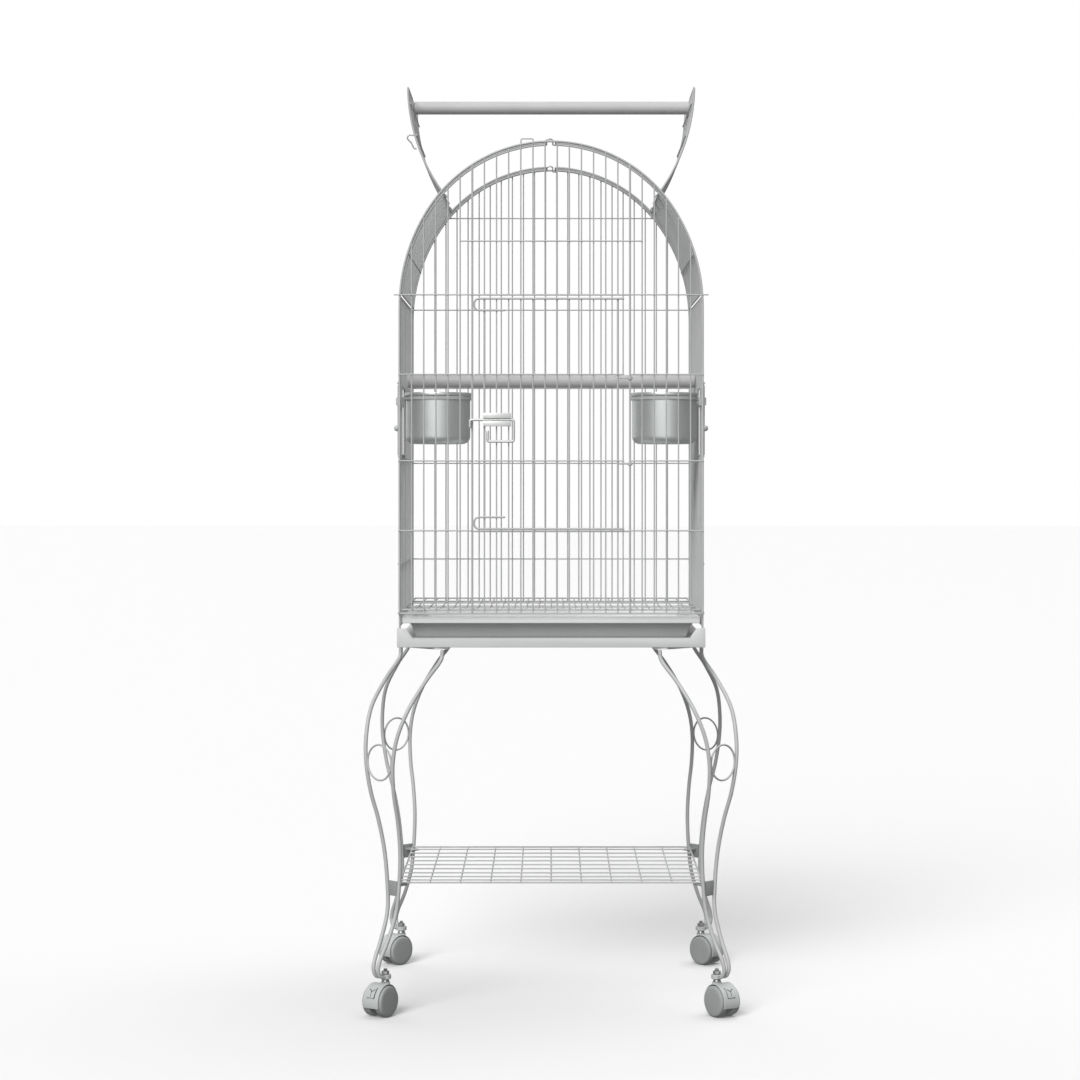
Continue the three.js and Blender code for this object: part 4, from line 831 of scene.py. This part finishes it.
def hood(braked):
    made = hood_shell(braked)
    made.merge(across_axle(arc_section(5, 26.9, -18, 216, 48), 4.6))
    made.merge(sleeve((0, 0, 54.4), (0, 0, 1), 3.9, 7.8, 5.6, 32))
    return made


def wheels():
    """Two plain discs with softly domed faces, on one axle."""
    made = Build()
    for side in (-1, 1):
        inner, outer, r = 5.3, 19.9, WHEEL_R - 0.04
        profile = [(0, inner), (r - 2.4, inner), (r - 0.8, inner + 0.5), (r, inner + 2.2),
                   (r, outer - 4.2), (r - 0.3, outer - 2.6), (r - 1.0, outer - 1.5), (r - 2.2, outer - 0.8),
                   (r - 4.5, outer - 0.35), (r - 10, outer - 0.1), (0, outer)]
        profile = [(a, side * b) for a, b in profile]
        made.merge(lathe(profile if side > 0 else profile[::-1], (0, -TRAIL, AXLE_Z), (1, 0, 0), 72))
    return made.merge(sweep([(-6, -TRAIL, AXLE_Z), (6, -TRAIL, AXLE_Z)], 3.4, 20))


def brake():
    return across_axle(arc_section(27.15, 29.3, 126.4, 35.2, 12), 6.4)


def brake_groove_shade():
    """The lever's three grooves on its outer face, as a Y, drawn as thin near-black wires: painted shade in
    the grooves.
    """
    def at(x, turn):
        t = math.radians(turn)
        return (x, -TRAIL + 29.1 * math.cos(t), AXLE_Z + 29.1 * math.sin(t))

    made = sweep([at(0, 143), at(0, 151), at(0, 159)], 0.6, 8)
    for side in (-1, 1):
        made.merge(sweep([at(0, 143), at(2.6 * side, 137), at(5.6 * side, 133)], 0.75, 8))
    return made


def stem():
    profile = [(0, 51.2), (2.9, 51.2), (3.1, 51.6), (3.1, 57.8), (6.1, 57.8), (6.4, 58.1),
               (6.4, 59.6), (5.9, 60.2), (5.9, 61.6), (5.5, 62.1), (3.1, 62.1), (3.1, 68)]
    for i in range(7):
        z = 75.4 + i * 0.45
        profile += [(3.15, z), (2.85, z + 0.22)]
    profile += [(3.0, 78.4), (2.5, 78.9), (0, 78.9)]
    return lathe(profile, (0, 0, 0), sides=28)


def nut():
    made = Build()
    flat, bore, low, high, chamfer = 6.3, 3.7, 69.9, 75.2, 0.55
    rings = []
    outside = [(low, flat - 0.7), (low + chamfer, flat), (high - chamfer, flat), (high, flat - 0.7)]
    for z, r in (*outside, (high, bore), (low, bore)):
        rings += [(r * math.sin(k * math.pi / 3), r * math.cos(k * math.pi / 3), z) for k in range(6)]
    return made.add(array(rings), [face[::-1] for face in rings_to_faces(6, 6, True)])


def caster_place(end, side):
    turn = CASTER_TURN[end]
    out = STEM_OUT * math.sqrt(0.5)
    x0, y0 = CORNER[0] + out, (CORNER[1] + out) * (-1 if end == "front" else 1)

    def change(points):
        c, s = math.cos(turn), math.sin(turn)
        x = points[:, 0] * c - points[:, 1] * s + x0
        y = points[:, 0] * s + points[:, 1] * c + y0
        return np.stack([x * (-1 if side == "left" else 1), y, points[:, 2]], 1)

    return change


def corner_place(end, side):
    flip = np.array([-1 if side == "left" else 1, -1 if end == "front" else 1, 1])
    return lambda points: points * flip


# ---------- Putting it together ----------
softened("base_frame_look", "base_frame", 0.8, SHEET)
tray_look = softened("tray_look", "tray", 1.1, TRAY, "tray", 3)
tray_look.data.materials.append(TRAY_RIM)
rim_low = max(v.co.z for v in tray_look.data.vertices) - 0.0112
tray_middle = Vector((0, MIDDLE_Y, 0))
for face in tray_look.data.polygons:
    inward = face.normal.z > 0.3 or (face.normal * Vector((1, 1, 0))).dot(tray_middle - face.center) > 0
    face.material_index = 1 if face.center.z > rim_low or inward else 0
piece("floor_grate_look", floor_grate(), COAT, "coated_wire", node="floor_grate")
piece("front_panel_look", front_panel(), COAT, "coated_wire", node="front_panel")
piece("back_panel_look", back_panel(), COAT, "coated_wire", node="back_panel")
piece("right_roof_panel_look", roof_panel(), COAT, "coated_wire", node="right_roof_panel")
piece("left_roof_panel_look", roof_panel().moved(mirror_x), COAT, "coated_wire", node="left_roof_panel")
strips = {
    "front_right": roof_strip(),
    "front_left": roof_strip().moved(mirror_x).merge(keeper()),
    "back_right": roof_strip().moved(mirror_y),
    "back_left": roof_strip().moved(mirror_y).moved(mirror_x),
}
for corner_name, strip in strips.items():
    name = corner_name + "_roof_strip"
    piece(name + "_look", strip, COAT, "coated_wire", node=name)
piece("front_apex_clip_look", apex_clip(-1), ZINC, "zinc", node="front_apex_clip")
piece("back_apex_clip_look", apex_clip(1), ZINC, "zinc", node="back_apex_clip")
piece("roof_hook_look", roof_hook(), ZINC, "zinc", "roof_hook", "roof_hook")
top_perch_z = sum(corner.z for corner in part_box("top_perch")) * 500 - 1000 * RISE_Z
piece("top_perch_look", perch(TOP_PERCH_HALF, top_perch_z), PERCH, "perch", "top_perch", "top_perch")
piece("inner_perch_look", perch(INNER_PERCH_HALF, INNER_PERCH_Z), PERCH, "perch", node="inner_perch")
piece("front_door_look", front_door(), COAT, "coated_wire", "front_door", "front_door")
softened("latch_bracket_look", "latch_bracket", 0.35, LATCH, "front_door")
piece("latch_bolt_look", latch_bolt(), LATCH, "zinc", "latch_bolt", "latch_bolt")
piece("shelf_look", shelf(), COAT, "coated_wire", node="shelf")

for side in ("left", "right"):
    def turned(build):
        return build.moved(mirror_x) if side == "left" else build

    wire = (COAT, "coated_wire")
    piece(side + "_side_panel_look", turned(side_panel()), *wire, node=side + "_side_panel")
    piece(side + "_roof_door_look", turned(roof_door()), *wire, "roof_door_" + side, side + "_roof_door")
    flap = "feeder_flap_" + side
    piece(side + "_feeder_flap_look", turned(feeder_flap()), *wire, flap, side + "_feeder_flap")
    piece(side + "_flap_knob", turned(flap_knob()), PLASTIC, "coated_wire", flap)
    piece(side + "_cup_look", turned(cup()), STEEL, "stainless", "cup_" + side, side + "_cup")
    piece(side + "_cup_holder_look", turned(cup_holder()), *wire, node=side + "_cup_holder")
    for index, j in enumerate(BLOCK_BAYS):
        piece(f"{side}_holder_block_{index}", turned(holder_block(side_wire(j))), *wire)

for end in ("front", "back"):
    for side in ("left", "right"):
        name = end + "_" + side
        corner, swivel = corner_place(end, side), caster_place(end, side)
        piece(name + "_leg_look", leg().moved(corner), COAT, "coated_wire", node=name + "_leg")
        piece(name + "_leg_plate", leg_plate().moved(corner), SHEET, "coated_sheet")
        softened(name + "_shelf_clamp_look", name + "_shelf_clamp", 0.6, CLAMP)
        piece(name + "_stem_look", stem().moved(swivel), ZINC, "zinc", node=name + "_stem")
        piece(name + "_nut_look", nut().moved(swivel), ZINC, "zinc", node=name + "_nut")
        look = hood(end == "front").moved(swivel)
        piece(name + "_hood_look", look, PLASTIC, "caster_plastic", name + "_caster", name + "_hood")
        look = wheels().moved(swivel)
        piece(name + "_wheels_look", look, WHEEL, "wheel_plastic", name + "_wheels", name + "_wheels")
        if end == "front":
            look = brake().moved(swivel)
            piece(name + "_brake_look", look, PLASTIC, "caster_plastic", name + "_brake", name + "_brake")
            # near-black wires on the brake lever: painted shade in its grooves
            look = brake_groove_shade().moved(swivel)
            piece(name + "_brake_groove_shade", look, GROOVE_SHADE, "caster_plastic", name + "_brake")


# ---------- Floor, light and camera ----------
def stage():
    bpy.ops.mesh.primitive_plane_add(size=80, location=(0, 0, -0.0005))
    floor = bpy.context.object
    floor.name = "floor"
    made, _, shader = material("pale_floor", (0.88, 0.88, 0.88), 0.9)
    shader.inputs["Specular IOR Level"].default_value = 0.1
    floor.data.materials.append(made)
    floor.visible_diffuse = False
    floor.visible_glossy = False

    world = bpy.data.worlds.new("studio")
    bpy.context.scene.world = world
    world.use_nodes = True
    nodes, links = world.node_tree.nodes, world.node_tree.links
    seen = nodes["Background"]
    seen.inputs["Color"].default_value = (1, 1, 1, 1)
    seen.inputs["Strength"].default_value = 1.0
    room = nodes.new("ShaderNodeBackground")
    room.inputs["Color"].default_value = (1, 1, 1, 1)
    room.inputs["Strength"].default_value = 0.22
    ray, choice = nodes.new("ShaderNodeLightPath"), nodes.new("ShaderNodeMixShader")
    links.new(ray.outputs["Is Camera Ray"], choice.inputs["Fac"])
    links.new(room.outputs["Background"], choice.inputs[1])
    links.new(seen.outputs["Background"], choice.inputs[2])
    links.new(choice.outputs["Shader"], nodes["World Output"].inputs["Surface"])

    suns = [("key", (-0.32, -0.78, 0.66), 2.5, 34), ("front", (-0.06, -0.99, 0.03), 0.65, 60),
            ("top", (0.35, 0.30, 0.9), 1.1, 60), ("back", (-0.6, 0.8, 0.4), 0.6, 60)]
    for name, source, strength, angle in suns:
        data = bpy.data.lights.new(name, "SUN")
        data.energy, data.angle = strength, math.radians(angle)
        light = bpy.data.objects.new(name, data)
        bpy.context.scene.collection.objects.link(light)
        light.rotation_euler = (-Vector(source)).to_track_quat("-Z", "Y").to_euler()


def camera():
    data = bpy.data.cameras.new("camera")
    data.lens, data.sensor_width = 84.2, 36
    data.shift_x, data.shift_y = -0.0103, -0.0591
    data.clip_end = 100
    made = bpy.data.objects.new("camera", data)
    bpy.context.scene.collection.objects.link(made)
    made.location = (0, -4.32 + MIDDLE_Y, 0.878 + RISE_Z)
    made.rotation_euler = (math.pi / 2, 0, 0)
    bpy.context.scene.camera = made
    bpy.context.scene.view_settings.view_transform = "Standard"


stage()
camera()
